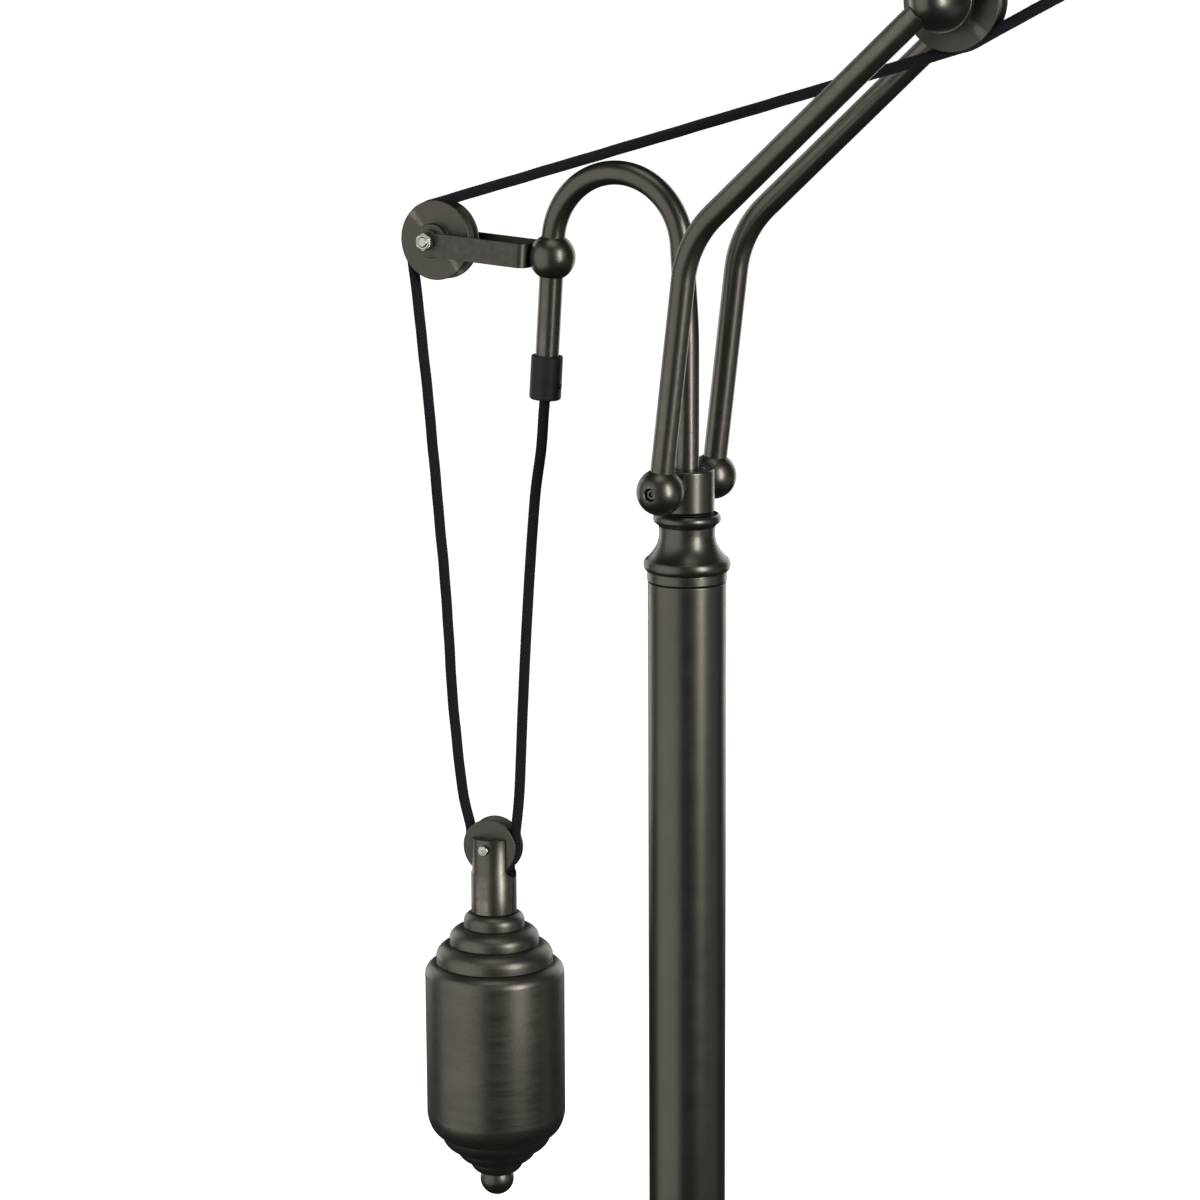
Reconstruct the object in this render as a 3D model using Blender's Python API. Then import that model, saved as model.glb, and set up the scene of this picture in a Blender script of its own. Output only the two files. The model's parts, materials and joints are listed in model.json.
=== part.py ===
"""Pharmacy floor lamp with a counterweighted double arm, as an assembly of separate pieces.

Frame: metres, +Z up, origin under the centre of the felt pad. The arm reaches towards +X, and
every arm joint turns about Y. Places on the upper works are written from the hub pivot, where
the double arm turns.
"""
import math

import bmesh
import bpy
from mathutils import Matrix, Quaternion, Vector

# ---------------------------------------------------------------- driving dimensions
GAP = 0.0003                 # clearance between pieces that touch
RUN = 0.0004                 # running clearance round a pin or in a socket
SEGS = 20                    # sides of a turned piece
SEGS_WIDE = 28               # sides of the base and the shade
SEGS_STEM = 16               # sides of a slim turned piece
SEGS_SMALL = 12              # sides of a small one
SEGS_TUBE = 12               # sides of a bent tube

HUB_Z = 1.160                # height of the arm pivot
COLUMN_R = 0.01905
COLUMN_WALL = 0.0015
BASE_R = 0.146
BASE_SHELL = 0.0015
FELT_T = 0.002
WEIGHT_T = 0.017             # iron disc, between the felt and the cover
BASE_TOP = 0.0375            # top of the base cover at its centre

CORD_R = 0.00275
ROD_BORE = CORD_R + 0.00065  # hollow tie rod and swivel stud, which the cord runs through
ROD_R = ROD_BORE + 0.0016

HUB_R = 0.01325
HUB_TOP = 0.0073             # from the pivot
HUB_BOTTOM = -0.0134
HUB_CAVITY_R = 0.0086
TUBE_R = 0.0058              # cane and arm tubes
TUBE_WALL = 0.0011

BALL_R = 0.0114              # hub balls and cane ball
ARM_Y = 0.02735              # half the distance between the two arms
ARM_KNEE = (0.0145, 0.1197)  # bend of the arm, x and z from the pivot
ARM_BEND_R = 0.050
ELBOW = (0.1363, 0.2310)     # elbow axle, x and z from the pivot
PIVOT_SCREW_R = 0.0018
SCREW_HEAD_R = PIVOT_SCREW_R + 0.0008
SCREW_SINK = 0.0022          # the head lies this deep below the ball's pole
SCREW_HEAD_T = 0.0021

CANE_ARCH = (-0.0381, 0.1126)  # centre of the cane's arch
CANE_ARCH_R = 0.0354
CANE_LEAN = math.radians(3.9)  # each leg spreads outwards, going down
CANE_BALL_Z = 0.1060
SLEEVE_TOP = 0.0578
SLEEVE_BOTTOM = 0.0360
SLEEVE_R = 0.00784

GUIDE = (-0.1380, 0.1119)    # guide pulley axle
GUIDE_RIM_R = 0.0197
ELBOW_RIM_R = 0.0234
WEIGHT_RIM_R = 0.0145
PULLEY_HALF = 0.0052         # half the width of a pulley at its rim
CORD_DEPTH = 0.0020          # from a pulley's rim down to the middle of the cord
AXLE_R = 0.0025
ELBOW_AXLE_R = 0.0030
YOKE_PIN_R = 0.0020
CLAMP_R = 0.0025             # screw of the wrist's clamp knob
SWITCH_SHAFT_R = 0.0020

STRAP_T = 0.0022
STRAP_H = 0.0117
STRAP_Y = 0.0100             # inner face of each side of the pulley bracket

WEIGHT_X = -0.1113           # axis of the counterweight
WEIGHT_PULLEY_Z = -0.1949
WEIGHT_TWIST = math.radians(6.0)
YOKE_R = 0.0116
YOKE_BOTTOM = -0.2290
WEIGHT_BODY_R = 0.03567
WEIGHT_BODY_LOW = -0.3692    # underside of the body, from the pivot
FINIAL_R = 0.0087
FINIAL_Z = -0.3731           # centre of the ball below the body

FOREARM_RISE = math.radians(24.0)
FOREARM_LENGTH = 0.420       # elbow axle to wrist axle
FOREARM_R = 0.0060
FORK_HALF = 0.0065           # half height of the fork's sides
FORK_IN = 0.0063             # inner face of each side of the fork
FORK_T = 0.0034
FORK_ROOT = 0.0290           # where the fork's sides meet
BLOCK_START = 0.140          # cord block on the forearm
BLOCK_END = 0.185
BLOCK_DROP = 0.012           # cord entry, below the forearm's axis

WRIST_R = 0.0120
WRIST_HALF = 0.0095
UPPER_STEM_R = 0.0076
LOWER_STEM_R = 0.0070
SHADE_UP = math.radians(25.0)  # the most the shade tilts towards the forearm
CAP_TOP = -0.0280            # top of the shade cap, from the wrist axle
CAP_R = 0.0235
CAP_BOTTOM = -0.0840
SHELL_T = 0.0012
HOLDER_R = 0.0165
SHADE_R = 0.1050
SHADE_TOP_R = 0.0300
SHADE_H = 0.1000
SHADE_RIM = 0.0070
BULB_R = 0.0300

# ---------------------------------------------------------------- finishes
FINISHES = {
    "bronze": ((0.075, 0.072, 0.062), 0.42, 0.9),
    "iron": ((0.05, 0.05, 0.05), 0.8, 0.3),
    "steel": ((0.55, 0.54, 0.50), 0.35, 1.0),
    "nickel": ((0.72, 0.71, 0.68), 0.25, 1.0),
    "felt": ((0.03, 0.03, 0.03), 0.95, 0.0),
    "black_plastic": ((0.015, 0.015, 0.016), 0.55, 0.0),
    "cord": ((0.012, 0.013, 0.017), 0.85, 0.0),
    "shade_metal": ((0.075, 0.072, 0.062), 0.42, 0.9),
    "ceramic": ((0.80, 0.78, 0.72), 0.4, 0.0),
    "glass": ((0.93, 0.92, 0.88), 0.2, 0.0),
}


def clear_scene():
    for thing in list(bpy.data.objects):
        bpy.data.objects.remove(thing, do_unlink=True)


def make_materials():
    made = {}
    for name, (colour, roughness, metallic) in FINISHES.items():
        mat = bpy.data.materials.new(name)
        mat.use_nodes = True
        shader = mat.node_tree.nodes["Principled BSDF"]
        shader.inputs["Base Color"].default_value = (*colour, 1.0)
        shader.inputs["Roughness"].default_value = roughness
        shader.inputs["Metallic"].default_value = metallic
        made[name] = mat
    return made


# ---------------------------------------------------------------- places and bodies
def at_hub(x, z, y=0.0):
    """A point written from the hub pivot."""
    return Vector((x, y, HUB_Z + z))


def along_forearm(distance, drop=0.0, y=0.0):
    """A point at a distance along the forearm from the elbow axle, and below its axis."""
    c, s = math.cos(FOREARM_RISE), math.sin(FOREARM_RISE)
    return at_hub(ELBOW[0] + distance * c + drop * s, ELBOW[1] + distance * s - drop * c, y)


def z_axis_to(direction, origin):
    """A matrix that lays a piece turned about Z along a direction."""
    turn = Vector((0, 0, 1)).rotation_difference(Vector(direction).normalized())
    return Matrix.Translation(origin) @ turn.to_matrix().to_4x4()


def stems_clear():
    """Radius inside which the wrist's stems are cut away, so that they don't meet at the full tilt."""
    between = math.pi / 2 - FOREARM_RISE - SHADE_UP
    a, b = UPPER_STEM_R, LOWER_STEM_R
    return math.sqrt(a * a + b * b + 2 * a * b * math.cos(between)) / math.sin(between) + GAP


FOREARM_DIR = Vector((math.cos(FOREARM_RISE), 0.0, math.sin(FOREARM_RISE)))
WRIST_CLEAR = stems_clear()
WRIST = along_forearm(FOREARM_LENGTH)
WEIGHT_AXLE = at_hub(WEIGHT_X, WEIGHT_PULLEY_Z)
WEIGHT_TURN = Matrix.Translation(WEIGHT_AXLE) @ Matrix.Rotation(WEIGHT_TWIST, 4, "Z")
SWITCH_AT = WRIST + Vector((HOLDER_R + GAP, 0.0, -0.062))

BODIES = {
    "base": (None, Vector((0, 0, 0))),
    "hub": ("base", at_hub(0, HUB_BOTTOM)),
    "guide_pulley": ("hub", at_hub(*GUIDE)),
    "cord_run": ("hub", at_hub(*GUIDE)),
    "counterweight": ("hub", WEIGHT_AXLE),
    "weight_pulley": ("counterweight", WEIGHT_AXLE),
    "arm": ("hub", at_hub(0, 0)),
    "elbow_pulley": ("arm", at_hub(*ELBOW)),
    "forearm": ("arm", at_hub(*ELBOW)),
    "wrist_knob": ("forearm", WRIST),
    "shade": ("forearm", WRIST),
    "switch": ("shade", SWITCH_AT),
}


def make_empties():
    made = {}
    for name, (parent, place) in BODIES.items():
        empty = bpy.data.objects.new(name + "_origin", None)
        empty.empty_display_size = 0.02
        bpy.context.collection.objects.link(empty)
        if parent:
            empty.parent = made[parent]
            empty.location = place - BODIES[parent][1]
        else:
            empty.location = place
        made[name] = empty
    return made


# ---------------------------------------------------------------- mesh tools
def finish_mesh(name, bm, body, finish):
    """Turns a bmesh in world coordinates into the named object, on its body's origin."""
    bmesh.ops.remove_doubles(bm, verts=bm.verts, dist=1e-6)
    bmesh.ops.recalc_face_normals(bm, faces=bm.faces)
    bmesh.ops.translate(bm, verts=bm.verts, vec=-BODIES[body][1])
    mesh = bpy.data.meshes.new(name)
    bm.to_mesh(mesh)
    bm.free()
    mesh.shade_smooth()
    mesh.set_sharp_from_angle(angle=math.radians(32))
    obj = bpy.data.objects.new(name, mesh)
    obj.data.materials.append(MATERIALS[finish])
    obj.parent = EMPTIES[body]
    bpy.context.collection.objects.link(obj)
    return obj


def hide_cutter(obj):
    obj.hide_render = True
    obj.display_type = "WIRE"
    return obj


def boolean(obj, other, operation):
    hide_cutter(other)
    mod = obj.modifiers.new(operation.lower(), "BOOLEAN")
    mod.operation = operation
    mod.solver = "EXACT"
    mod.object = other
    return obj


def cut(obj, *cutters):
    for cutter in cutters:
        boolean(obj, cutter, "DIFFERENCE")
    return obj


def join(obj, *others):
    for other in others:
        boolean(obj, other, "UNION")
    return obj


def turned(name, profile, body, finish, place=Matrix(), segs=SEGS):
    """Spins a profile of (radius, height) points about Z. It ends on the axis, or else is a loop."""
    bm = bmesh.new()
    verts = [bm.verts.new((r, 0.0, z)) for r, z in profile]
    edges = [bm.edges.new(pair) for pair in zip(verts, verts[1:])]
    if profile[0][0] > 0 or profile[-1][0] > 0:
        edges.append(bm.edges.new((verts[-1], verts[0])))
    bmesh.ops.spin(bm, geom=verts + edges, cent=(0, 0, 0), axis=(0, 0, 1), dvec=(0, 0, 0),
                   angle=2 * math.pi, steps=segs, use_merge=True, use_duplicate=False)
    bmesh.ops.transform(bm, matrix=place, verts=bm.verts)
    return finish_mesh(name, bm, body, finish)


def rod(name, radius, start, end, body, finish, segs=SEGS_SMALL, bore=0.0):
    """A plain round bar or sleeve between two points."""
    length = (Vector(end) - Vector(start)).length
    if bore:
        profile = [(radius, length), (radius, 0.0), (bore, 0.0), (bore, length)]
    else:
        profile = [(0.0, length), (radius, length), (radius, 0.0), (0.0, 0.0)]
    place = z_axis_to(Vector(end) - Vector(start), Vector(start))
    return turned(name, profile, body, finish, place, segs)


def box(name, low, high, body, finish, place=Matrix()):
    bm = bmesh.new()
    size = Vector(high) - Vector(low)
    centre = (Vector(high) + Vector(low)) / 2
    bmesh.ops.create_cube(bm, size=1.0, matrix=Matrix.Translation(centre) @ Matrix.Diagonal((*size, 1.0)))
    bmesh.ops.transform(bm, matrix=place, verts=bm.verts)
    return finish_mesh(name, bm, body, finish)


def extruded(name, outline, thickness, body, finish, place=Matrix()):
    """Extrudes a flat outline of (x, z) points along +Y."""
    bm = bmesh.new()
    face = bm.faces.new([bm.verts.new((x, 0.0, z)) for x, z in outline])
    made = bmesh.ops.extrude_face_region(bm, geom=[face])["geom"]
    moved = [v for v in made if isinstance(v, bmesh.types.BMVert)]
    bmesh.ops.translate(bm, verts=moved, vec=(0, thickness, 0))
    bmesh.ops.transform(bm, matrix=place, verts=bm.verts)
    return finish_mesh(name, bm, body, finish)


def bent_tube(name, path, radius, body, finish, bore=0.0, segs=SEGS_TUBE):
    """Sweeps a ring along a path that lies in a plane of constant Y."""
    bm = bmesh.new()
    skins = []
    for skin_radius in ([radius, bore] if bore else [radius]):
        rings = []
        for i, point in enumerate(path):
            ahead = path[min(i + 1, len(path) - 1)] - path[max(i - 1, 0)]
            side = Vector((0, 1, 0)).cross(ahead.normalized())
            ring = []
            for k in range(segs):
                angle = 2 * math.pi * k / segs
                ring.append(bm.verts.new(point + skin_radius * (math.cos(angle) * side
                                                                + Vector((0, math.sin(angle), 0)))))
            rings.append(ring)
        for a, b in zip(rings, rings[1:]):
            for k in range(segs):
                n = (k + 1) % segs
                bm.faces.new((a[k], a[n], b[n], b[k]))
        skins.append(rings)
    for end in (0, -1):
        if bore:
            outer, inner = skins[0][end], skins[1][end]
            for k in range(segs):
                n = (k + 1) % segs
                bm.faces.new((outer[k], outer[n], inner[n], inner[k]))
        else:
            bm.faces.new(skins[0][end])
    return finish_mesh(name, bm, body, finish)


def fillet_path(corners, radii, step=math.radians(8)):
    """Points of a path in the XZ plane with its corners rounded by arcs."""
    path = [corners[0]]
    for before, corner, after, radius in zip(corners, corners[1:], corners[2:], radii):
        a = (before - corner).normalized()
        b = (after - corner).normalized()
        half = a.angle(b) / 2
        reach = radius / math.tan(half)
        centre = corner + (a + b).normalized() * (radius / math.sin(half))
        start, end = corner + a * reach - centre, corner + b * reach - centre
        turn = start.rotation_difference(end)
        count = max(2, round(turn.angle / step))
        for i in range(count + 1):
            path.append(centre + Quaternion(turn.axis, turn.angle * i / count) @ start)
    return path + [corners[-1]]


def arc(centre, radius, first, last, count):
    """Points of an arc in the XZ plane, angles from +X towards +Z."""
    points = []
    for i in range(count + 1):
        a = first + (last - first) * i / count
        points.append(centre + radius * Vector((math.cos(a), 0.0, math.sin(a))))
    return points


def smooth_route(points, spacing=0.012):
    """Evenly spread points on a smooth curve (Catmull-Rom) through the route's own points."""
    padded = [2 * points[0] - points[1]] + points + [2 * points[-1] - points[-2]]
    route = []
    for p0, p1, p2, p3 in zip(padded, padded[1:], padded[2:], padded[3:]):
        steps = max(1, round((p2 - p1).length / spacing))
        for i in range(steps):
            t = i / steps
            route.append(0.5 * (2 * p1 + (p2 - p0) * t + (2 * p0 - 5 * p1 + 4 * p2 - p3) * t * t
                                + (3 * p1 - p0 - 3 * p2 + p3) * t ** 3))
    return route + [points[-1]]


def cord(name, points, body):
    """A length of the cord: a round bevel on a polyline, with filled caps."""
    curve = bpy.data.curves.new(name, "CURVE")
    curve.dimensions = "3D"
    curve.bevel_depth = CORD_R
    curve.bevel_resolution = 2
    curve.use_fill_caps = True
    spline = curve.splines.new("POLY")
    spline.points.add(len(points) - 1)
    for slot, point in zip(spline.points, points):
        slot.co = (*(point - BODIES[body][1]), 1.0)
    obj = bpy.data.objects.new(name, curve)
    curve.materials.append(MATERIALS["cord"])
    obj.parent = EMPTIES[body]
    bpy.context.collection.objects.link(obj)
    return obj


def hex_nut(name, across, height, bore, centre, direction, body, finish):
    corner = across / math.sqrt(3)
    turned(name, [(corner, height), (corner, 0.0), (bore, 0.0), (bore, height)], body, finish,
           z_axis_to(direction, centre), segs=6)


def shell_profile(outer, thickness):
    """Closes an outer profile with the same profile moved inwards by the shell's thickness."""
    inner = []
    for i, (r, z) in enumerate(outer):
        before = Vector(outer[max(i - 1, 0)])
        after = Vector(outer[min(i + 1, len(outer) - 1)])
        here = Vector((r, z))
        normals = []
        for a, b in ((before, here), (here, after)):
            if (b - a).length > 1e-9:
                run = (b - a).normalized()
                normals.append(Vector((run.y, -run.x)))
        mid = sum(normals, Vector((0, 0))).normalized()
        reach = thickness / max(0.4, mid.dot(normals[0]))
        inner.append(tuple(here + mid * reach))
    return list(outer) + inner[::-1]


# ---------------------------------------------------------------- base and column
WEIGHT_LOW = FELT_T + GAP
WEIGHT_TOP = WEIGHT_LOW + WEIGHT_T
RECESS_R = 0.0180
INLET_Z = WEIGHT_LOW + 0.00285 + CORD_R   # middle of the cord where it enters the base
NUT_T = 0.0035
NUT_LOW = INLET_Z + CORD_R + GAP
RECESS_TOP = NUT_LOW + NUT_T + GAP
CHANNEL = CORD_R + 0.00175   # half width of the cord channel under the iron disc
FOOT_NECK = COLUMN_R + 0.0033
FOOT_R = FOOT_NECK + 0.00765
FOOT_H = 0.0240
COLUMN_FOOT = BASE_TOP + GAP + 0.0045
COLLAR_CREASE = -0.0427      # lower edge of the collar, from the pivot
COLLAR_GROOVE = -0.0476
COLLAR_TOP = -0.0144
ROD_TOP = -0.0360


def cover_profile():
    """The cover from its centre hole out to its rim, as a stepped and rounded spinning."""
    profile = [(ROD_R + RUN, BASE_TOP), (0.0340, BASE_TOP), (0.0375, BASE_TOP - 0.0050),
               (0.0750, BASE_TOP - 0.0105), (BASE_R - 0.014, BASE_TOP - 0.0170),
               (BASE_R - 0.0125, BASE_TOP - 0.0200), (BASE_R - 0.004, BASE_TOP - 0.0228),
               (BASE_R, BASE_TOP - 0.0290), (BASE_R, WEIGHT_LOW)]
    return shell_profile(profile, BASE_SHELL)


def build_base():
    turned("base_felt_pad", [(0, FELT_T), (BASE_R - 0.002, FELT_T), (BASE_R - 0.002, 0), (0, 0)],
           "base", "felt", segs=SEGS_WIDE)
    cover = turned("base_cover", cover_profile(), "base", "bronze", segs=SEGS_WIDE)
    weight_r = BASE_R - BASE_SHELL - 0.0165
    boss = BASE_TOP - BASE_SHELL - 2 * GAP
    weight = turned("base_weight", [(ROD_R + RUN, boss), (0.0300, boss), (0.0335, WEIGHT_TOP),
                                    (weight_r, WEIGHT_TOP), (weight_r, WEIGHT_LOW),
                                    (RECESS_R, WEIGHT_LOW), (RECESS_R, RECESS_TOP),
                                    (ROD_R + RUN, RECESS_TOP)], "base", "iron", segs=SEGS_WIDE)
    channel = box("weight_channel_cutter", (-BASE_R, -CHANNEL, 0.0), (0.0, CHANNEL, RECESS_TOP - 0.003),
                  "base", "iron")
    cut(weight, channel)
    neck, rim = CORD_R + 0.00185, CORD_R + 0.00275
    cut(cover, rod("cover_bush_cutter", neck + 0.0004, (-BASE_R - 0.01, 0, INLET_Z),
                   (-BASE_R + 0.02, 0, INLET_Z), "base", "iron"))
    turned("cord_inlet_bush", [(neck, 0.0065), (neck, 0.0022), (rim, 0.0022), (rim, 0.0),
                               (CORD_R + RUN, 0.0), (CORD_R + RUN, 0.0065)], "base", "black_plastic",
           z_axis_to((1, 0, 0), (-BASE_R - 0.0022 - GAP, 0, INLET_Z)), SEGS_SMALL)
    nut_bore = ROD_R / math.cos(math.pi / 6) + RUN
    hex_nut("tie_nut", 0.0160, NUT_T, nut_bore, (0, 0, NUT_LOW), (0, 0, 1), "base", "steel")
    rod("tie_rod", ROD_R, (0, 0, NUT_LOW + 0.0005), at_hub(0, ROD_TOP), "base", "steel", bore=ROD_BORE)
    seat = BASE_TOP + GAP
    turned("column_foot", [(FOOT_NECK, seat + FOOT_H), (FOOT_NECK + 0.00105, seat + FOOT_H - 0.0015),
                           (FOOT_NECK, seat + FOOT_H - 0.0035), (FOOT_NECK + 0.00105, seat + 0.0120),
                           (FOOT_NECK + 0.00405, seat + 0.0065), (FOOT_R, seat + 0.0040), (FOOT_R, seat),
                           (ROD_R + RUN, seat), (ROD_R + RUN, COLUMN_FOOT - GAP),
                           (COLUMN_R + GAP, COLUMN_FOOT - GAP), (COLUMN_R + GAP, seat + FOOT_H)],
           "base", "bronze")
    rod("column", COLUMN_R, (0, 0, COLUMN_FOOT), at_hub(0, COLLAR_GROOVE - GAP), "base", "bronze", SEGS,
        bore=COLUMN_R - COLUMN_WALL)
    under = [Vector((-0.100, 0, INLET_Z)), Vector((0, 0, INLET_Z)), Vector((0, 0, 0.100))]
    up = [Vector((0, 0, 0.50)), at_hub(0, -0.0240), at_hub(0, -0.0040)]
    lead_in = [Vector((-BASE_R + 0.004, 0, INLET_Z))] + fillet_path(under, [CORD_R], 0.4)
    cord("cord_in_column", lead_in + up, "base")


def collar_profile():
    """Beads and cove of the turned collar, with a spigot that fits inside the column."""
    z = COLLAR_GROOVE
    bore = ROD_R + RUN
    points = [(bore, COLLAR_TOP), (0.0150, COLLAR_TOP), (0.0160, -0.0155), (0.0164, -0.0169),
              (0.0157, -0.0188), (0.0142, -0.0198)]
    points += [(0.0136, -0.0215), (0.0135, -0.0243), (0.0141, -0.0280), (0.0154, -0.0312)]
    lip = [(-0.00185, -0.0337), (0.00015, -0.0358), (0.00085, -0.0362), (0.00175, -0.0377),
           (0.00195, -0.0393), (0.00155, -0.0412), (0.00045, -0.0423)]
    points += [(COLUMN_R + out, dz) for out, dz in lip]
    points += [(COLUMN_R + 0.0002, COLLAR_CREASE), (COLUMN_R + 0.0002, z)]
    spigot = COLUMN_R - COLUMN_WALL - GAP
    points += [(spigot, z), (spigot, z - 0.012), (bore, z - 0.012)]
    return [(r, HUB_Z + dz) for r, dz in points]


def build_column_top():
    turned("column_collar", collar_profile(), "base", "bronze")
    head, tip = -0.0104 + GAP, ROD_TOP + GAP
    turned("swivel_bolt", [(ROD_BORE, head + 0.0048), (HUB_CAVITY_R - 0.0010, head + 0.0048),
                           (HUB_CAVITY_R - 0.0010, head), (ROD_R, head), (ROD_R, tip), (ROD_BORE, tip)],
           "base", "steel", Matrix.Translation(at_hub(0, 0)), SEGS_SMALL)
    rod("swivel_washer", HUB_R - 0.0006, at_hub(0, COLLAR_TOP + GAP), at_hub(0, HUB_BOTTOM - GAP), "base",
        "black_plastic", SEGS_STEM, bore=ROD_R + RUN)


# ---------------------------------------------------------------- hub and cane
def build_hub():
    hub = turned("hub", [(HUB_CAVITY_R, HUB_TOP), (HUB_R - 0.0006, HUB_TOP), (HUB_R, HUB_TOP - 0.0006),
                         (HUB_R, HUB_BOTTOM + 0.0006), (HUB_R - 0.0006, HUB_BOTTOM),
                         (ROD_R + RUN, HUB_BOTTOM), (ROD_R + RUN, -0.0104), (HUB_CAVITY_R, -0.0104)],
                 "hub", "bronze", Matrix.Translation(at_hub(0, 0)))
    for side in (-1, 1):
        join(hub, rod(f"hub_boss_{side}", 0.0058, at_hub(0, 0, side * 0.0100), at_hub(0, 0, side * 0.0146),
                      "hub", "bronze"))
    cut(hub, rod("hub_cross_cutter", PIVOT_SCREW_R + RUN, at_hub(0, 0, -0.02), at_hub(0, 0, 0.02), "hub",
                 "bronze"))
    turned("hub_plug", [(TUBE_R + RUN, HUB_TOP), (HUB_CAVITY_R - GAP, HUB_TOP), (HUB_CAVITY_R - GAP, 0.0032),
                        (CORD_R + RUN, 0.0032), (CORD_R + RUN, 0.0042), (TUBE_R + RUN, 0.0042)], "hub",
           "bronze", Matrix.Translation(at_hub(0, 0)), SEGS_STEM)
    for side, label in ((-1, "front"), (1, "rear")):
        pole = ARM_Y + BALL_R
        length = pole - SCREW_SINK - (HUB_CAVITY_R + GAP)
        profile = [(0, 0.0), (SCREW_HEAD_R, 0.0), (SCREW_HEAD_R, SCREW_HEAD_T), (PIVOT_SCREW_R, SCREW_HEAD_T),
                   (PIVOT_SCREW_R, length), (0, length)]
        turned(f"arm_pivot_screw_{label}", profile[::-1], "hub", "steel",
               z_axis_to((0, -side, 0), at_hub(0, 0, side * (pole - SCREW_SINK))), SEGS_SMALL)
        rod(f"pivot_washer_{label}", 0.0050, at_hub(0, 0, side * (0.0146 + GAP)),
            at_hub(0, 0, side * 0.0160), "hub", "nickel", bore=PIVOT_SCREW_R + RUN)


def cane_path():
    """Up from the hub, over the arch and down to the sleeve. Both legs spread by the same lean."""
    centre = at_hub(*CANE_ARCH)
    lean = Vector((math.sin(CANE_LEAN), 0, -math.cos(CANE_LEAN)))
    right_end = centre + CANE_ARCH_R * Vector((math.cos(CANE_LEAN), 0, math.sin(CANE_LEAN)))
    left_end = centre + CANE_ARCH_R * Vector((-math.cos(CANE_LEAN), 0, math.sin(CANE_LEAN)))
    corner = right_end + lean * (-right_end.x / lean.x)
    rise = fillet_path([at_hub(0, 0.0042 + GAP), Vector((0, 0, corner.z)), right_end], [0.30], 0.03)
    over = arc(centre, CANE_ARCH_R, CANE_LEAN, math.pi - CANE_LEAN, 12)
    down = Vector((-lean.x, 0, lean.z))
    tip = left_end + down * ((left_end.z - (HUB_Z + SLEEVE_BOTTOM + 0.0060)) / -down.z)
    return rise[:-1] + over + [tip], left_end, down


CANE_POINTS, CANE_LEFT, CANE_DOWN = cane_path()


def on_left_leg(z):
    """The point of the cane's left leg at a height above the pivot."""
    drop = (CANE_LEFT.z - (HUB_Z + z)) / -CANE_DOWN.z
    return CANE_LEFT + CANE_DOWN * drop


def build_cane():
    bent_tube("cane_tube", CANE_POINTS, TUBE_R, "hub", "bronze", bore=TUBE_R - TUBE_WALL)
    ball_at = on_left_leg(CANE_BALL_Z)
    across = Vector((CANE_DOWN.z, 0, -CANE_DOWN.x))
    web = 0.0094
    bore = TUBE_R + GAP
    mouth = math.asin(bore / BALL_R)
    ball = turned("cane_ball", sphere_points(BALL_R, mouth, math.pi - mouth, 7), "hub", "bronze",
                  z_axis_to(-CANE_DOWN, ball_at), SEGS)
    cut(ball, box("cane_ball_flat", (web, -0.02, -0.02), (0.03, 0.02, 0.02), "hub", "bronze",
                  z_frame(across, ball_at)))
    sleeve_place = z_axis_to(-CANE_DOWN, on_left_leg(SLEEVE_BOTTOM))
    tall = SLEEVE_TOP - SLEEVE_BOTTOM
    sleeve = turned("cord_sleeve", [(SLEEVE_R - 0.0006, tall), (SLEEVE_R, tall - 0.0006), (SLEEVE_R, 0.0006),
                                    (SLEEVE_R - 0.0006, 0.0), (CORD_R + 0.0009, 0.0),
                                    (CORD_R + 0.0009, 0.0050), (TUBE_R + RUN, 0.0056), (TUBE_R + RUN, tall)],
                    "hub", "black_plastic", sleeve_place, SEGS_STEM)
    screw_at = on_left_leg(SLEEVE_BOTTOM + 0.0075)
    out = Vector((-across.x, 0, -across.z))
    cut(sleeve, rod("sleeve_screw_hole", 0.0016, screw_at, screw_at + out * 0.02, "hub", "black_plastic", 10))
    rod("sleeve_screw", 0.0013, screw_at + out * (TUBE_R + GAP), screw_at + out * (SLEEVE_R + 0.0007), "hub",
        "black_plastic", 10)
    return ball_at, across, web


def sphere_points(radius, first, last, count):
    """(radius, height) points of a ball's outline, angles from its top."""
    angles = [first + (last - first) * i / count for i in range(count + 1)]
    return [(radius * math.sin(a), radius * math.cos(a)) for a in angles]


def z_frame(x_axis, origin):
    """A matrix whose X is a given direction in the XZ plane, and whose Y is the world's Y."""
    x = Vector(x_axis).normalized()
    z = x.cross(Vector((0, 1, 0)))
    turn = Matrix((x, Vector((0, 1, 0)), z)).transposed().to_4x4()
    return Matrix.Translation(origin) @ turn


# ---------------------------------------------------------------- pulleys and bracket
def pulley(name, rim, bore, body, place, boss=0.0):
    """A grooved wheel turned about Z. The groove is a clearance deeper and wider than the cord."""
    bottom = rim - CORD_DEPTH - CORD_R - GAP
    inner = CORD_R + RUN
    half = PULLEY_HALF
    hub_r, hub_half = (boss, STRAP_Y - GAP) if boss else (bore + 0.0025, half + 0.0004)
    side = [(rim, half - 0.0011), (rim, half - 0.0003), (rim - 0.0003, half), (hub_r, half),
            (hub_r, hub_half), (bore, hub_half)]
    profile = side[::-1] + [(bottom, inner), (bottom, -inner)] + [(r, -z) for r, z in side]
    return turned(name, profile, body, "bronze", place, SEGS)


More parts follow.
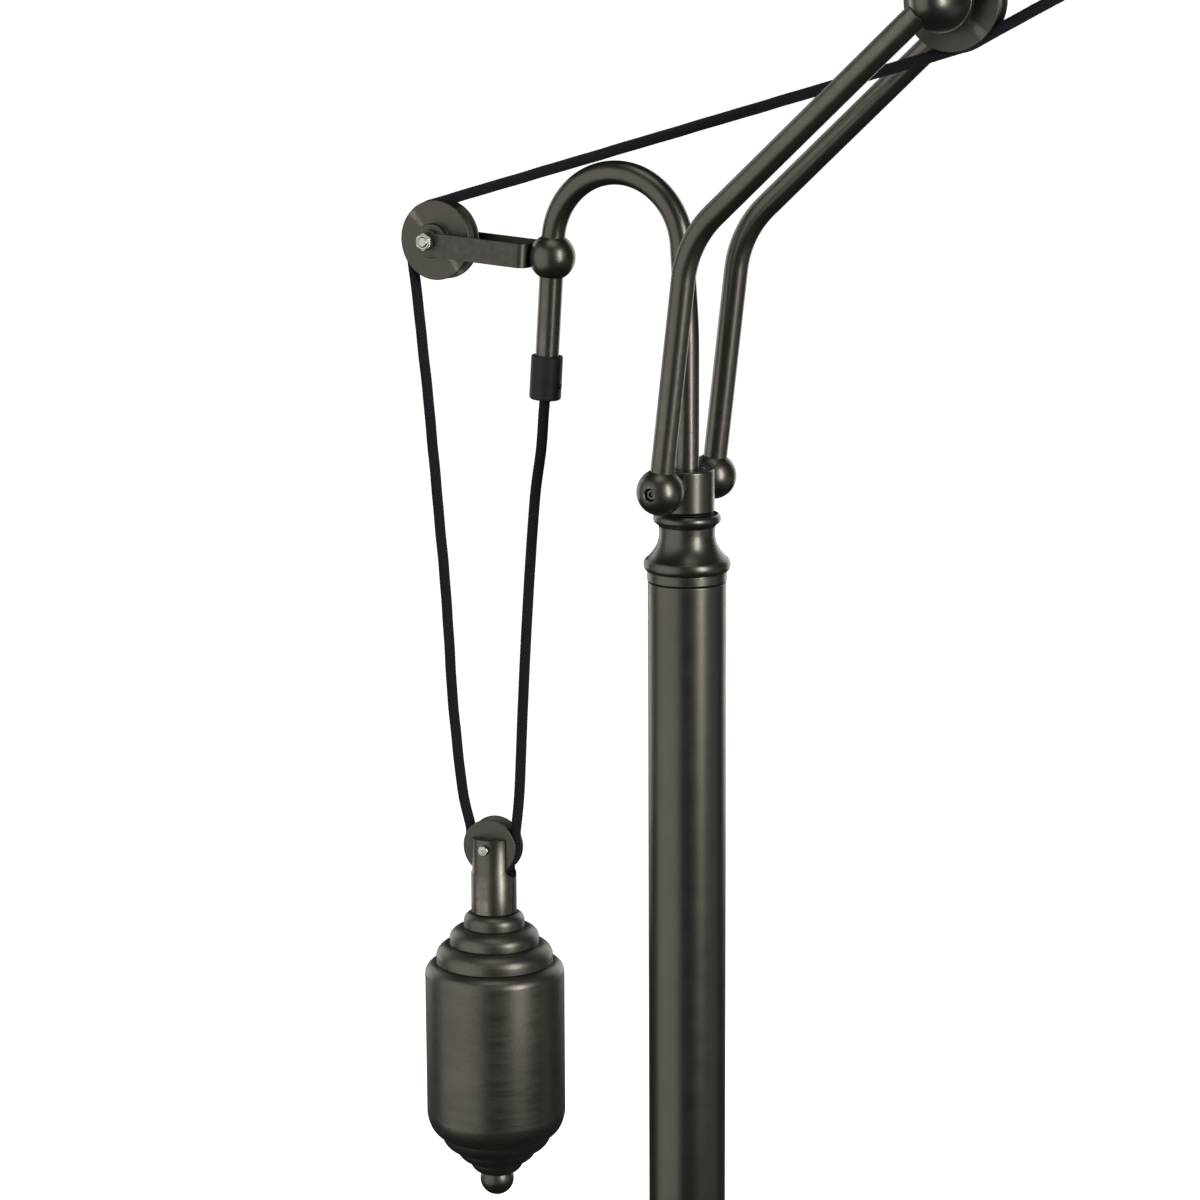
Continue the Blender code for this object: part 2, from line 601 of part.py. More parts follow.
def build_bracket(ball_at, across, web):
    """A bent strap from the flat on the cane ball out to both ends of the guide pulley's axle."""
    frame = z_frame(across, ball_at)
    axle = frame.inverted() @ at_hub(*GUIDE)
    x_web, x_end = web + GAP, axle.x
    out, bend = STRAP_Y + STRAP_T, 0.0045
    outer = [(x_end, -out), (x_web + bend, -out)]
    outer += [(x_web + bend - bend * math.sin(a), -out + bend - bend * math.cos(a))
              for a in (math.radians(d) for d in (22.5, 45, 67.5))]
    outer += [(x_web, -out + bend)]
    outer += [(x, -y) for x, y in outer[::-1]]
    inner_bend = bend - STRAP_T
    inner = [(x_end, -STRAP_Y), (x_web + bend, -STRAP_Y)]
    inner += [(x_web + bend - inner_bend * math.sin(a), -STRAP_Y + inner_bend - inner_bend * math.cos(a))
              for a in (math.radians(d) for d in (22.5, 45, 67.5))]
    inner += [(x_web + STRAP_T, -STRAP_Y + inner_bend)]
    inner += [(x, -y) for x, y in inner[::-1]]
    lay_flat = Matrix(((1, 0, 0, 0), (0, 0, 1, 0), (0, 1, 0, -STRAP_H / 2), (0, 0, 0, 1)))
    strap = extruded("pulley_bracket", outer + inner[::-1], STRAP_H, "hub", "bronze", frame @ lay_flat)
    for side in (-1, 1):
        start = frame @ Vector((x_end, side * STRAP_Y, axle.z))
        end = frame @ Vector((x_end, side * out, axle.z))
        join(strap, rod(f"strap_end_{side}", STRAP_H / 2, start, end, "hub", "bronze", SEGS))
    wide = frame @ Vector((x_end, -0.03, axle.z)), frame @ Vector((x_end, 0.03, axle.z))
    cut(strap, rod("strap_axle_hole", AXLE_R + RUN, *wide, "hub", "bronze"))
    hole = frame @ Vector((0.004, 0, 0)), frame @ Vector((0.03, 0, 0))
    cut(strap, rod("strap_screw_hole", 0.0021 + RUN, *hole, "hub", "bronze"))
    screw_tip = frame @ Vector((TUBE_R + 2 * GAP, 0, 0))
    screw_head = frame @ Vector((x_web + STRAP_T + GAP, 0, 0))
    length = (screw_head - screw_tip).length
    turned("bracket_screw", [(0, length + 0.0026), (0.0020, length + 0.0026), (0.0040, length + 0.0014),
                             (0.0040, length), (0.0021, length), (0.0021, 0), (0, 0)], "hub", "steel",
           z_axis_to(screw_head - screw_tip, screw_tip), SEGS_SMALL)
    ball = bpy.data.objects["cane_ball"]
    cut(ball, rod("cane_ball_screw_hole", 0.0021 + RUN, *hole, "hub", "bronze"))
    face = out + GAP
    centre = at_hub(*GUIDE)
    turned("guide_axle_bolt", [(0, 2 * face + 0.0046), (AXLE_R - 0.0004, 2 * face + 0.0046),
                               (AXLE_R, 2 * face + 0.0042), (AXLE_R, 0.0), (0.0046, 0.0), (0.0046, -0.0032),
                               (0, -0.0032)], "hub", "nickel",
           z_axis_to((0, -1, 0), centre + Vector((0, face, 0))), SEGS_SMALL)
    turned("guide_lock_nut", [(0.0046, 0.0), (0.0046, 0.0026), (0.0036, 0.0034), (0.0034, 0.0040),
                              (AXLE_R + RUN, 0.0040), (AXLE_R + RUN, 0.0)], "hub", "nickel",
           z_axis_to((0, -1, 0), centre - Vector((0, face + 0.0001, 0))), 6)
    pulley("guide_pulley", GUIDE_RIM_R, AXLE_R + RUN, "guide_pulley", z_axis_to((0, 1, 0), centre), 0.0085)


# ---------------------------------------------------------------- double arm
def build_arm():
    knee = Vector((ARM_KNEE[0], 0, ARM_KNEE[1]))
    elbow = Vector((ELBOW[0], 0, ELBOW[1]))
    lower, upper = knee.normalized(), (elbow - knee).normalized()
    start_gap, end_gap = 0.0046, 0.0075
    for side, label in ((-1, "front"), (1, "rear")):
        shift = at_hub(0, 0, side * ARM_Y)
        path = fillet_path([lower * start_gap, knee, elbow - upper * end_gap], [ARM_BEND_R])
        bent_tube(f"arm_tube_{label}", [p + shift for p in path], TUBE_R, "arm", "bronze",
                  bore=TUBE_R - TUBE_WALL)
        bore, recess, flat = PIVOT_SCREW_R + RUN, SCREW_HEAD_R + GAP, ARM_Y - 0.0163
        floor = BALL_R - SCREW_SINK - SCREW_HEAD_T - GAP
        skin = sphere_points(BALL_R, math.asin(recess / BALL_R), math.acos(-flat / BALL_R), 8)
        profile = [(bore, floor), (recess, floor)] + skin + [(bore, -flat)]
        ball = turned(f"arm_ball_{label}", profile, "arm", "bronze", z_axis_to((0, side, 0), shift), SEGS)
        cut(ball, rod(f"arm_ball_socket_{label}", TUBE_R + GAP, shift + lower * (start_gap - GAP),
                      shift + lower * 0.02, "arm", "bronze", SEGS_TUBE))
        elbow_dome(label, side, shift + elbow, upper, end_gap)
    ends = (-0.0300, 0.0300)
    rod("elbow_axle", ELBOW_AXLE_R, at_hub(*ELBOW, ends[0]), at_hub(*ELBOW, ends[1]), "arm", "steel")
    pulley("elbow_pulley", ELBOW_RIM_R, ELBOW_AXLE_R + RUN, "elbow_pulley",
           z_axis_to((0, 1, 0), at_hub(*ELBOW)))


DOME_IN = FORK_IN + FORK_T + 0.0004  # inner face of each elbow dome's boss
DOME_FACE = 0.0125           # inner face of its flange
DOME_FLANGE = 0.0165
DOME_TOP = 0.0360
DOME_R = 0.0135
DOME_FLANGE_R = 0.0149


def elbow_dome(label, side, tube_end, upper, end_gap):
    """A flanged dome that closes the end of the axle and holds the end of the arm tube."""
    face, step = DOME_FACE - DOME_IN, DOME_FLANGE - DOME_IN
    profile = [(0, 0), (0.0070, 0), (0.0070, face), (DOME_FLANGE_R, face), (DOME_FLANGE_R, step - 0.0006),
               (DOME_FLANGE_R - 0.0005, step)]
    for i in range(7):
        a = math.radians(90) * i / 6
        r = DOME_R * math.cos(a) if i < 6 else 0.0
        profile.append((r, step + (DOME_TOP - DOME_FLANGE) * math.sin(a)))
    dome = turned(f"elbow_dome_{label}", profile[::-1], "arm", "bronze",
                  z_axis_to((0, side, 0), at_hub(*ELBOW, side * DOME_IN)))
    cut(dome, rod(f"dome_socket_{label}", TUBE_R + GAP, tube_end - upper * (end_gap - GAP),
                  tube_end - upper * 0.03, "arm", "bronze", SEGS_TUBE),
        rod(f"dome_bore_{label}", ELBOW_AXLE_R + GAP, at_hub(*ELBOW, 0), at_hub(*ELBOW, side * 0.0304), "arm",
            "bronze"))


# ---------------------------------------------------------------- forearm
def build_forearm():
    frame = z_frame(FOREARM_DIR, at_hub(*ELBOW))
    wide = FORK_IN + FORK_T
    ferrule_end = 0.0520
    nose = [(FORK_HALF * math.cos(a), FORK_HALF * math.sin(a))
            for a in (math.radians(90 + 180 * i / 10) for i in range(11))]
    fork = extruded("forearm_fork", nose + [(0.0400, -FORK_HALF), (0.0400, FORK_HALF)], 2 * wide, "forearm",
                    "bronze", frame @ Matrix.Translation((0, -wide, 0)))
    cut(fork, box("fork_slot", (-0.02, -FORK_IN, -0.02), (FORK_ROOT, FORK_IN, 0.02), "forearm", "bronze",
                  frame),
        rod("fork_axle_hole", ELBOW_AXLE_R + RUN, at_hub(*ELBOW, -0.02), at_hub(*ELBOW, 0.02), "forearm",
            "bronze"))
    join(fork, rod("fork_ferrule", 0.0080, along_forearm(0.0350), along_forearm(ferrule_end), "forearm",
                   "bronze", SEGS_STEM))
    socket = 0.0440
    cut(fork, rod("fork_socket", FOREARM_R + GAP, along_forearm(socket), along_forearm(0.07), "forearm",
                  "bronze", SEGS_TUBE))
    rear_end, front_start = BLOCK_START + 0.0110, BLOCK_END - 0.0120
    bent_tube("forearm_tube_rear", [along_forearm(socket + GAP), along_forearm(rear_end)], FOREARM_R,
              "forearm", "bronze", bore=FOREARM_R - TUBE_WALL)
    block = stadium_block("cord_block")
    entry = along_forearm(BLOCK_START + 0.014, BLOCK_DROP)
    leave_elbow = under_elbow(depart_angle(entry))
    passage = fillet_path([leave_elbow, entry, along_forearm(front_start - 0.004),
                           along_forearm(front_start + 0.004)], [0.012, 0.012], 0.35)
    cut(block, rod("block_rear_socket", FOREARM_R + GAP, along_forearm(BLOCK_START - 0.01),
                   along_forearm(rear_end + GAP), "forearm", "bronze", SEGS_TUBE),
        rod("block_front_socket", FOREARM_R + GAP, along_forearm(front_start - GAP),
            along_forearm(BLOCK_END + 0.01), "forearm", "bronze", SEGS_TUBE),
        bent_tube("block_passage", passage, CORD_R + RUN, "forearm", "bronze", segs=12))
    tube_end = FOREARM_LENGTH - WRIST_CLEAR - 0.0010
    bent_tube("forearm_tube_front", [along_forearm(front_start), along_forearm(tube_end)], FOREARM_R,
              "forearm", "bronze", bore=FOREARM_R - TUBE_WALL)
    return passage, front_start, tube_end


def under_elbow(angle):
    """The cord's middle where it lies on the elbow pulley."""
    r = ELBOW_RIM_R - CORD_DEPTH
    return at_hub(ELBOW[0] + r * math.cos(angle), ELBOW[1] + r * math.sin(angle))


def depart_angle(target):
    """Where on the elbow pulley the cord leaves its underside towards a point."""
    away = target - at_hub(*ELBOW)
    lift = math.atan2(away.z, away.x)
    return lift + math.asin((ELBOW_RIM_R - CORD_DEPTH) / away.length) - math.pi / 2


def stadium_block(name):
    """The cord block: two rounds joined by straight sides, extruded along the forearm."""
    top_r, low_r = 0.0098, 0.0058
    tilt = math.asin((top_r - low_r) / BLOCK_DROP)
    outline = []
    for i in range(11):
        a = (math.pi + 2 * tilt) * i / 10 - tilt
        outline.append((top_r * math.cos(a), top_r * math.sin(a)))
    for i in range(7):
        a = math.pi + tilt + (math.pi - 2 * tilt) * i / 6
        outline.append((low_r * math.cos(a), low_r * math.sin(a) - BLOCK_DROP))
    x, y = FOREARM_DIR, Vector((0, -1, 0))
    z = x.cross(y)
    turn = Matrix((y, x, z)).transposed().to_4x4()
    if z.z < 0:
        turn = Matrix((-y, x, -z)).transposed().to_4x4()
    return extruded(name, outline, BLOCK_END - BLOCK_START, "forearm", "bronze",
                    Matrix.Translation(along_forearm(BLOCK_START)) @ turn)


# ---------------------------------------------------------------- wrist and shade
def wrist_half(name, side, direction, length, body, stem_r):
    """One disc of the wrist with its stem, which is cut away where the other knuckle passes."""
    face = side * GAP
    disc = rod(name, WRIST_R, WRIST + Vector((0, face, 0)), WRIST + Vector((0, side * WRIST_HALF, 0)), body,
               "bronze", SEGS)
    stem = rod(name + "_stem", stem_r, WRIST + direction * WRIST_R * 0.3, WRIST + direction * length, body,
               "bronze", SEGS_STEM)
    cut(stem, rod(name + "_clear", WRIST_CLEAR, WRIST + Vector((0, face, 0)),
                  WRIST - Vector((0, side * 0.02, 0)), body, "bronze", SEGS))
    join(disc, stem)
    cut(disc, rod(name + "_axle_hole", CLAMP_R + RUN, WRIST - Vector((0, 0.02, 0)),
                  WRIST + Vector((0, 0.02, 0)), body, "bronze"))
    return disc


def build_wrist(tube_end):
    knuckle = wrist_half("wrist_knuckle_upper", -1, -FOREARM_DIR, 0.0320, "forearm", UPPER_STEM_R)
    socket = WRIST - FOREARM_DIR * (FOREARM_LENGTH - tube_end - GAP)
    cut(knuckle, rod("wrist_tube_socket", FOREARM_R + GAP, socket, WRIST - FOREARM_DIR * 0.05, "forearm",
                     "bronze", SEGS_TUBE))
    lower = wrist_half("wrist_knuckle_lower", 1, Vector((0, 0, -1)), -CAP_TOP - GAP, "shade", LOWER_STEM_R)
    nipple_top = -WRIST_CLEAR - 0.0010
    bore_ends = WRIST + Vector((0, 0, nipple_top)), WRIST + Vector((0, 0, -0.05))
    cut(lower, rod("stem_bore", ROD_R + GAP, *bore_ends, "shade", "bronze"))
    face = WRIST_HALF + GAP
    grip = [(0, -2 * face - 0.0020), (CLAMP_R, -2 * face - 0.0020), (CLAMP_R, 0.0), (0.0045, 0.0),
            (0.0050, 0.0018), (0.0082, 0.0024), (0.0086, 0.0032), (0.0086, 0.0080), (0.0080, 0.0088),
            (0, 0.0088)]
    turned("wrist_thumb_screw", grip[::-1], "wrist_knob", "bronze",
           z_axis_to((0, 1, 0), WRIST + Vector((0, face, 0))), SEGS_STEM)
    return nipple_top


def build_shade(nipple_top):
    place = Matrix.Translation(WRIST)
    holder_top = -0.0500
    rod("stem_nipple", ROD_R, WRIST + Vector((0, 0, nipple_top - GAP)),
        WRIST + Vector((0, 0, holder_top + GAP)), "shade", "steel", bore=ROD_BORE)
    outer = [(ROD_R + RUN, CAP_TOP), (0.0105, CAP_TOP), (0.0135, CAP_TOP - 0.0020),
             (0.0185, CAP_TOP - 0.0065), (CAP_R - 0.0012, CAP_TOP - 0.0125), (CAP_R, CAP_TOP - 0.0180),
             (CAP_R, CAP_BOTTOM + 0.0050),
             (CAP_R + 0.0030, CAP_BOTTOM + 0.0022), (CAP_R + 0.0034, CAP_BOTTOM)]
    cap = turned("shade_cap", shell_profile(outer, SHELL_T), "shade", "bronze", place)
    through = SWITCH_AT - Vector((0.005, 0, 0)), SWITCH_AT + Vector((0.02, 0, 0))
    cut(cap, rod("cap_switch_hole", SWITCH_SHAFT_R + RUN, *through, "shade", "bronze"))
    mouth, low = 0.0138, -0.1040
    turned("lampholder", [(ROD_R + RUN, holder_top), (0.0130, holder_top), (HOLDER_R, holder_top - 0.004),
                          (HOLDER_R, low), (mouth, low), (mouth, -0.0760), (ROD_R + RUN, -0.0760)], "shade",
           "black_plastic", place)
    top = CAP_BOTTOM - GAP
    dome = [(HOLDER_R + RUN, top), (SHADE_TOP_R, top)]
    for i in range(1, 8):
        a = math.radians(90) * i / 7
        dome.append((SHADE_TOP_R + (SHADE_R - SHADE_TOP_R) * math.sin(a), top - SHADE_H * (1 - math.cos(a))))
    dome += [(SHADE_R + 0.0016, top - SHADE_H - 0.0020), (SHADE_R + 0.0016, top - SHADE_H - SHADE_RIM)]
    turned("shade", shell_profile(dome, SHELL_T), "shade", "shade_metal", place, SEGS_WIDE)
    ring_top = top - SHELL_T - GAP
    turned("shade_ring", [(HOLDER_R + RUN, ring_top), (0.0215, ring_top), (0.0215, ring_top - 0.0035),
                          (0.0195, ring_top - 0.0050), (HOLDER_R + RUN, ring_top - 0.0050)], "shade",
           "black_plastic", place)
    globe, neck = low - 0.0420, 0.0130
    bulb = [(0, -0.0790), (0.0060, -0.0790), (neck, -0.0820), (neck, low - 0.003)]
    for i in range(1, 9):
        a = math.radians(38 + (180 - 38) * i / 8)
        bulb.append((BULB_R * math.sin(a) if i < 8 else 0.0, globe + BULB_R * math.cos(a)))
    turned("bulb", bulb, "shade", "glass", place)
    knob = [(0, 0), (SWITCH_SHAFT_R, 0), (SWITCH_SHAFT_R, 0.0082), (0.0058, 0.0090), (0.0066, 0.0104),
            (0.0060, 0.0180), (0.0050, 0.0192), (0, 0.0192)]
    turned("switch_knob", knob[::-1], "switch", "black_plastic", z_axis_to((1, 0, 0), SWITCH_AT), SEGS_SMALL)
    cord("cord_in_stem", [WRIST + Vector((0, 0, z)) for z in (nipple_top - 0.003, -0.035, -0.0560)], "shade")


# ---------------------------------------------------------------- counterweight
def build_counterweight():
    place = Matrix.Translation(at_hub(WEIGHT_X, 0))
    body = [(0, -0.2296), (0.0112, -0.2296), (0.0148, -0.2318), (0.0156, -0.2346), (0.0153, -0.2370),
            (0.0205, -0.2390), (0.0228, -0.2424), (0.0225, -0.2458), (0.0276, -0.2484), (0.0298, -0.2520),
            (0.0294, -0.2556), (0.0338, -0.2574), (WEIGHT_BODY_R, -0.2612),
            (WEIGHT_BODY_R, -0.3370), (0.0344, -0.3412), (0.0296, -0.3474), (0.0287, -0.3480),
            (0.0272, -0.3518), (0.0216, -0.3562), (0.0207, -0.3568), (0.0196, -0.3596), (0.0149, -0.3626),
            (0.0141, -0.3632), (0.0126, -0.3664), (0.0086, WEIGHT_BODY_LOW), (0, WEIGHT_BODY_LOW)]
    turned("counterweight_body", body, "counterweight", "bronze", place, SEGS)
    flat = WEIGHT_BODY_LOW - GAP
    ball = sphere_points(FINIAL_R, math.acos((flat - FINIAL_Z) / FINIAL_R), math.pi, 8)
    tip = [(0, flat)] + [(r, FINIAL_Z + z) for r, z in ball[:-1]] + [(0, FINIAL_Z - FINIAL_R)]
    turned("counterweight_finial", tip, "counterweight", "bronze", place, SEGS_STEM)
    low, high, step = YOKE_BOTTOM - WEIGHT_PULLEY_Z, 0.0049, -0.0130
    yoke = turned("weight_yoke", [(0, high), (YOKE_R - 0.0010, high), (YOKE_R - 0.0006, high - 0.0004),
                                  (YOKE_R - 0.0006, step), (YOKE_R, step - 0.0010), (YOKE_R, low), (0, low)],
                  "counterweight", "bronze", WEIGHT_TURN, SEGS)
    slot, floor = PULLEY_HALF + 0.0008, -(WEIGHT_RIM_R + 0.0012)
    cut(yoke, box("yoke_slot", (-0.03, -slot, floor), (0.03, slot, 0.02), "counterweight", "bronze",
                  WEIGHT_TURN),
        rod("yoke_pin_hole", YOKE_PIN_R + RUN, WEIGHT_TURN @ Vector((0, -0.03, 0)),
            WEIGHT_TURN @ Vector((0, 0.03, 0)), "counterweight", "bronze"))
    head = YOKE_R + 0.0004
    turned("weight_pulley_pin", [(0, 2 * head), (YOKE_PIN_R, 2 * head), (YOKE_PIN_R, 0),
                                 (YOKE_PIN_R + 0.0007, 0.0), (YOKE_PIN_R + 0.0007, -0.0008),
                                 (YOKE_PIN_R, -0.0014), (0, -0.0014)], "counterweight",
           "nickel", WEIGHT_TURN @ z_axis_to((0, 1, 0), (0, -head, 0)), SEGS_SMALL)
    pulley("weight_pulley", WEIGHT_RIM_R, YOKE_PIN_R + RUN, "weight_pulley",
           WEIGHT_TURN @ z_axis_to((0, 1, 0), (0, 0, 0)))


# ---------------------------------------------------------------- the working cord
def run_slope():
    """Slope of the straight run from over the guide pulley to under the elbow pulley."""
    dx, dz = ELBOW[0] - GUIDE[0], ELBOW[1] - GUIDE[1]
    reach = (GUIDE_RIM_R - CORD_DEPTH) + (ELBOW_RIM_R - CORD_DEPTH)
    return math.atan2(dz, dx) - math.asin(reach / math.hypot(dx, dz))


def shorten(points, by=GAP / 2):
    """Pulls both ends in a little, so that lengths of cord meet face to face."""
    first, last = points[0], points[-1]
    points[0] = first + (points[1] - first).normalized() * by
    points[-1] = last + (points[-2] - last).normalized() * by
    return points


def build_cord(passage, front_start, tube_end):
    """The lamp's own lead, which is also the rope that carries the counterweight."""
    guide, elbow = at_hub(*GUIDE), at_hub(*ELBOW)
    guide_r, elbow_r, weight_r = (rim - CORD_DEPTH for rim in (GUIDE_RIM_R, ELBOW_RIM_R, WEIGHT_RIM_R))
    inside = [at_hub(0, -0.0035), at_hub(0, 0.0060)] + CANE_POINTS[1:-1]
    rise = Vector((0, 0, 0.0040))
    left_turn = WEIGHT_TURN @ Vector((-weight_r, 0, 0)) + rise
    right_turn = WEIGHT_TURN @ Vector((weight_r, 0, 0)) + rise
    right = [on_left_leg(SLEEVE_BOTTOM + 0.0050), on_left_leg(SLEEVE_BOTTOM), at_hub(-0.0797, 0.0280),
             at_hub(-0.0812, 0.0110), at_hub(-0.0851, -0.0147), at_hub(-0.0895, -0.0656),
             at_hub(-0.0931, -0.1171, 0.0003), at_hub(-0.0960, -0.1650, 0.0007),
             right_turn + rise, right_turn]
    cord("cord_from_cane", shorten(inside + smooth_route(right, 0.022)), "hub")
    left = [left_turn, left_turn + rise, at_hub(-0.1290, -0.1660, -0.0007),
            at_hub(-0.1341, -0.1217, -0.0003), at_hub(-0.1373, -0.0701), at_hub(-0.1417, -0.0192),
            at_hub(-0.1463, 0.0312), at_hub(-0.1506, 0.0712), at_hub(-0.1534, 0.0950),
            guide + Vector((-guide_r, 0, 0))]
    half = [WEIGHT_TURN @ Vector((weight_r * math.cos(a), 0, weight_r * math.sin(a)))
            for a in (math.radians(-180 * i / 8) for i in range(9))]
    cord("cord_round_weight_pulley", shorten([right_turn] + half + [left_turn]), "counterweight")
    slope = run_slope()
    off = math.pi / 2 + slope
    over = arc(guide, guide_r, math.pi, off, 5)
    lead = 0.004 * Vector((math.cos(slope), 0, math.sin(slope)))
    leave = over[-1] + lead
    meet = under_elbow(off - math.pi) - lead
    cord("cord_over_guide", shorten(smooth_route(left, 0.022) + over[1:] + [leave]), "hub")
    cord("cord_upper_run", shorten([leave.lerp(meet, i / 4) for i in range(5)]), "cord_run")
    depart = depart_angle(along_forearm(BLOCK_START + 0.014, BLOCK_DROP))
    wrap = arc(elbow, elbow_r, off - math.pi, depart, 3)
    inner = [along_forearm(front_start + 0.060), along_forearm(tube_end - 0.003)]
    cord("cord_to_forearm", shorten([meet] + wrap + passage[1:] + inner), "forearm")


clear_scene()
MATERIALS = make_materials()
EMPTIES = make_empties()
build_base()
build_column_top()
build_hub()
build_bracket(*build_cane())
build_arm()
PASSAGE, FRONT_START, TUBE_END = build_forearm()
build_shade(build_wrist(TUBE_END))
build_counterweight()
build_cord(PASSAGE, FRONT_START, TUBE_END)
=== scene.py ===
import json
import math

import bmesh
import bpy
from mathutils import Matrix, Quaternion, Vector


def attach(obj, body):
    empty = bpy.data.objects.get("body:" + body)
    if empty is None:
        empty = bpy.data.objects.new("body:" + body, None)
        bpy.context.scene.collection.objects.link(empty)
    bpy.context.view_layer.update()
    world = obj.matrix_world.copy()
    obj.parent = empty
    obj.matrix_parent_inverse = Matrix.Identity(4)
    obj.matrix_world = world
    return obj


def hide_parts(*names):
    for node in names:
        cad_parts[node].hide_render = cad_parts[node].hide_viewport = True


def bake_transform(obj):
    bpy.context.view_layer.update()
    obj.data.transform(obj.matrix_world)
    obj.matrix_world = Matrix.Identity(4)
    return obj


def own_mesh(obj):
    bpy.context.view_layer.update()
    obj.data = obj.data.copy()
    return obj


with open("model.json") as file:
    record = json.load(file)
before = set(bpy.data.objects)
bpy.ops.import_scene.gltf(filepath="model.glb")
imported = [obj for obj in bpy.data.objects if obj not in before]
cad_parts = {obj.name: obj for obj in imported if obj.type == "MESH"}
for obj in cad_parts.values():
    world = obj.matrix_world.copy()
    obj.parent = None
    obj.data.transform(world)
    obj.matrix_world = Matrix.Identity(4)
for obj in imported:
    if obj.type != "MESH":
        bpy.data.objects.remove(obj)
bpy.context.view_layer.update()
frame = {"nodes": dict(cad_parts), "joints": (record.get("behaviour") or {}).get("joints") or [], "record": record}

# ---------------------------------------------------------------- sizes, in metres
JOINTS = {joint["name"]: joint for joint in frame["joints"]}
HUB = Vector(JOINTS["arm_lean"]["pos_m"])            # the arm's pivot
ELBOW = Vector(JOINTS["forearm_tilt"]["pos_m"])
WRIST = Vector(JOINTS["shade_tilt"]["pos_m"])
GUIDE = Vector(JOINTS["cord_run_swing"]["pos_m"])    # the guide pulley's axle
WEIGHT_AXLE = Vector(JOINTS["weight_pulley_spin"]["pos_m"])
SWITCH_AT = Vector(JOINTS["switch_turn"]["pos_m"])
WEIGHT_TWIST = math.radians(6.0)

GAP = 0.0003
RUN = 0.0004
CORD_R = 0.00275
ROD_HOLE = 0.0050 + RUN      # the holes that hollow rods pass
PIVOT_BORE = 0.0022          # the holes that the arm's pivot screws pass
SHEET_T = 0.0012             # the spun shade and its cap
COLUMN_R = 0.01905
COLUMN_WALL = 0.0015
COLLAR_GROOVE = -0.0476      # from the pivot, where the collar meets the column
FELT_T = 0.002
BASE_SHELL = 0.0015
BASE_R = 0.146
BASE_TOP = 0.0375
TUBE_R = 0.0058
TUBE_HOLE = TUBE_R + 0.0002
BALL_R = 0.0114
ARM_Y = 0.02735
ARM_KNEE = (0.0145, 0.1197)
ARM_BEND_R = 0.050
CANE_ARCH = (-0.0381, 0.1126)
CANE_ARCH_R = 0.0354
CANE_LEAN = math.radians(3.9)
CANE_BALL_Z = 0.1060
SLEEVE_TOP = 0.0578
SLEEVE_BOTTOM = 0.0360
SLEEVE_R = 0.00784
GUIDE_RIM_R = 0.0197
ELBOW_RIM_R = 0.0234
WEIGHT_RIM_R = 0.0145
PULLEY_HALF = 0.0052
CORD_DEPTH = 0.0020
STRAP_T = 0.0022
STRAP_H = 0.0117
STRAP_Y = 0.0100
FOREARM_RISE = math.radians(24.0)
FOREARM_LENGTH = 0.420
FOREARM_R = 0.0060
BLOCK_START = 0.140
BLOCK_END = 0.185
BLOCK_DROP = 0.012
UPPER_STEM_R = 0.0076
LOWER_STEM_R = 0.0070
STEMS_APART = math.radians(90 - 25) - FOREARM_RISE   # angle between the wrist's stems at the full tilt
WRIST_CLEAR = math.sqrt(UPPER_STEM_R ** 2 + LOWER_STEM_R ** 2 + 2 * UPPER_STEM_R * LOWER_STEM_R
        * math.cos(STEMS_APART)) / math.sin(STEMS_APART) + GAP

FOREARM_DIR = Vector((math.cos(FOREARM_RISE), 0.0, math.sin(FOREARM_RISE)))
WORLD_LIGHT = 0.035
CAMERA_AZIMUTH = 29.2
SIDES = 72                   # sides of a large turned piece
SIDES_SMALL = 40
BRONZE, NICKEL, STEEL, PLASTIC, CORD = "bronze", "nickel", "steel", "black_plastic", "cord"


def at_hub(x, z, y=0.0):
    """A point written from the arm's pivot."""
    return Vector((x, y, HUB.z + z))


# ---------------------------------------------------------------- mesh tools
def finish_mesh(name, bm, material, body, nodes, sharp=38):
    """Makes a named piece of a bmesh in the frame's coordinates, and gives it its place in the table."""
    bmesh.ops.remove_doubles(bm, verts=bm.verts, dist=2e-6)
    bmesh.ops.recalc_face_normals(bm, faces=bm.faces)
    mesh = bpy.data.meshes.new(name)
    bm.to_mesh(mesh)
    bm.free()
    mesh.shade_smooth()
    mesh.set_sharp_from_angle(angle=math.radians(sharp))
    piece = bpy.data.objects.new(name, mesh)
    bpy.context.collection.objects.link(piece)
    piece.data.materials.append(MATERIALS[material])
    if body:
        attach(piece, body)
    if nodes:
        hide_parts(*nodes)
    return piece


def z_axis_to(direction, origin):
    """A matrix that lays a piece turned about Z along a direction."""
    turn = Vector((0, 0, 1)).rotation_difference(Vector(direction).normalized())
    return Matrix.Translation(origin) @ turn.to_matrix().to_4x4()


def z_frame(x_axis, origin):
    """A matrix whose X is a direction in the XZ plane, and whose Y is the world's Y."""
    x = Vector(x_axis).normalized()
    z = x.cross(Vector((0, 1, 0)))
    return Matrix.Translation(origin) @ Matrix((x, Vector((0, 1, 0)), z)).transposed().to_4x4()


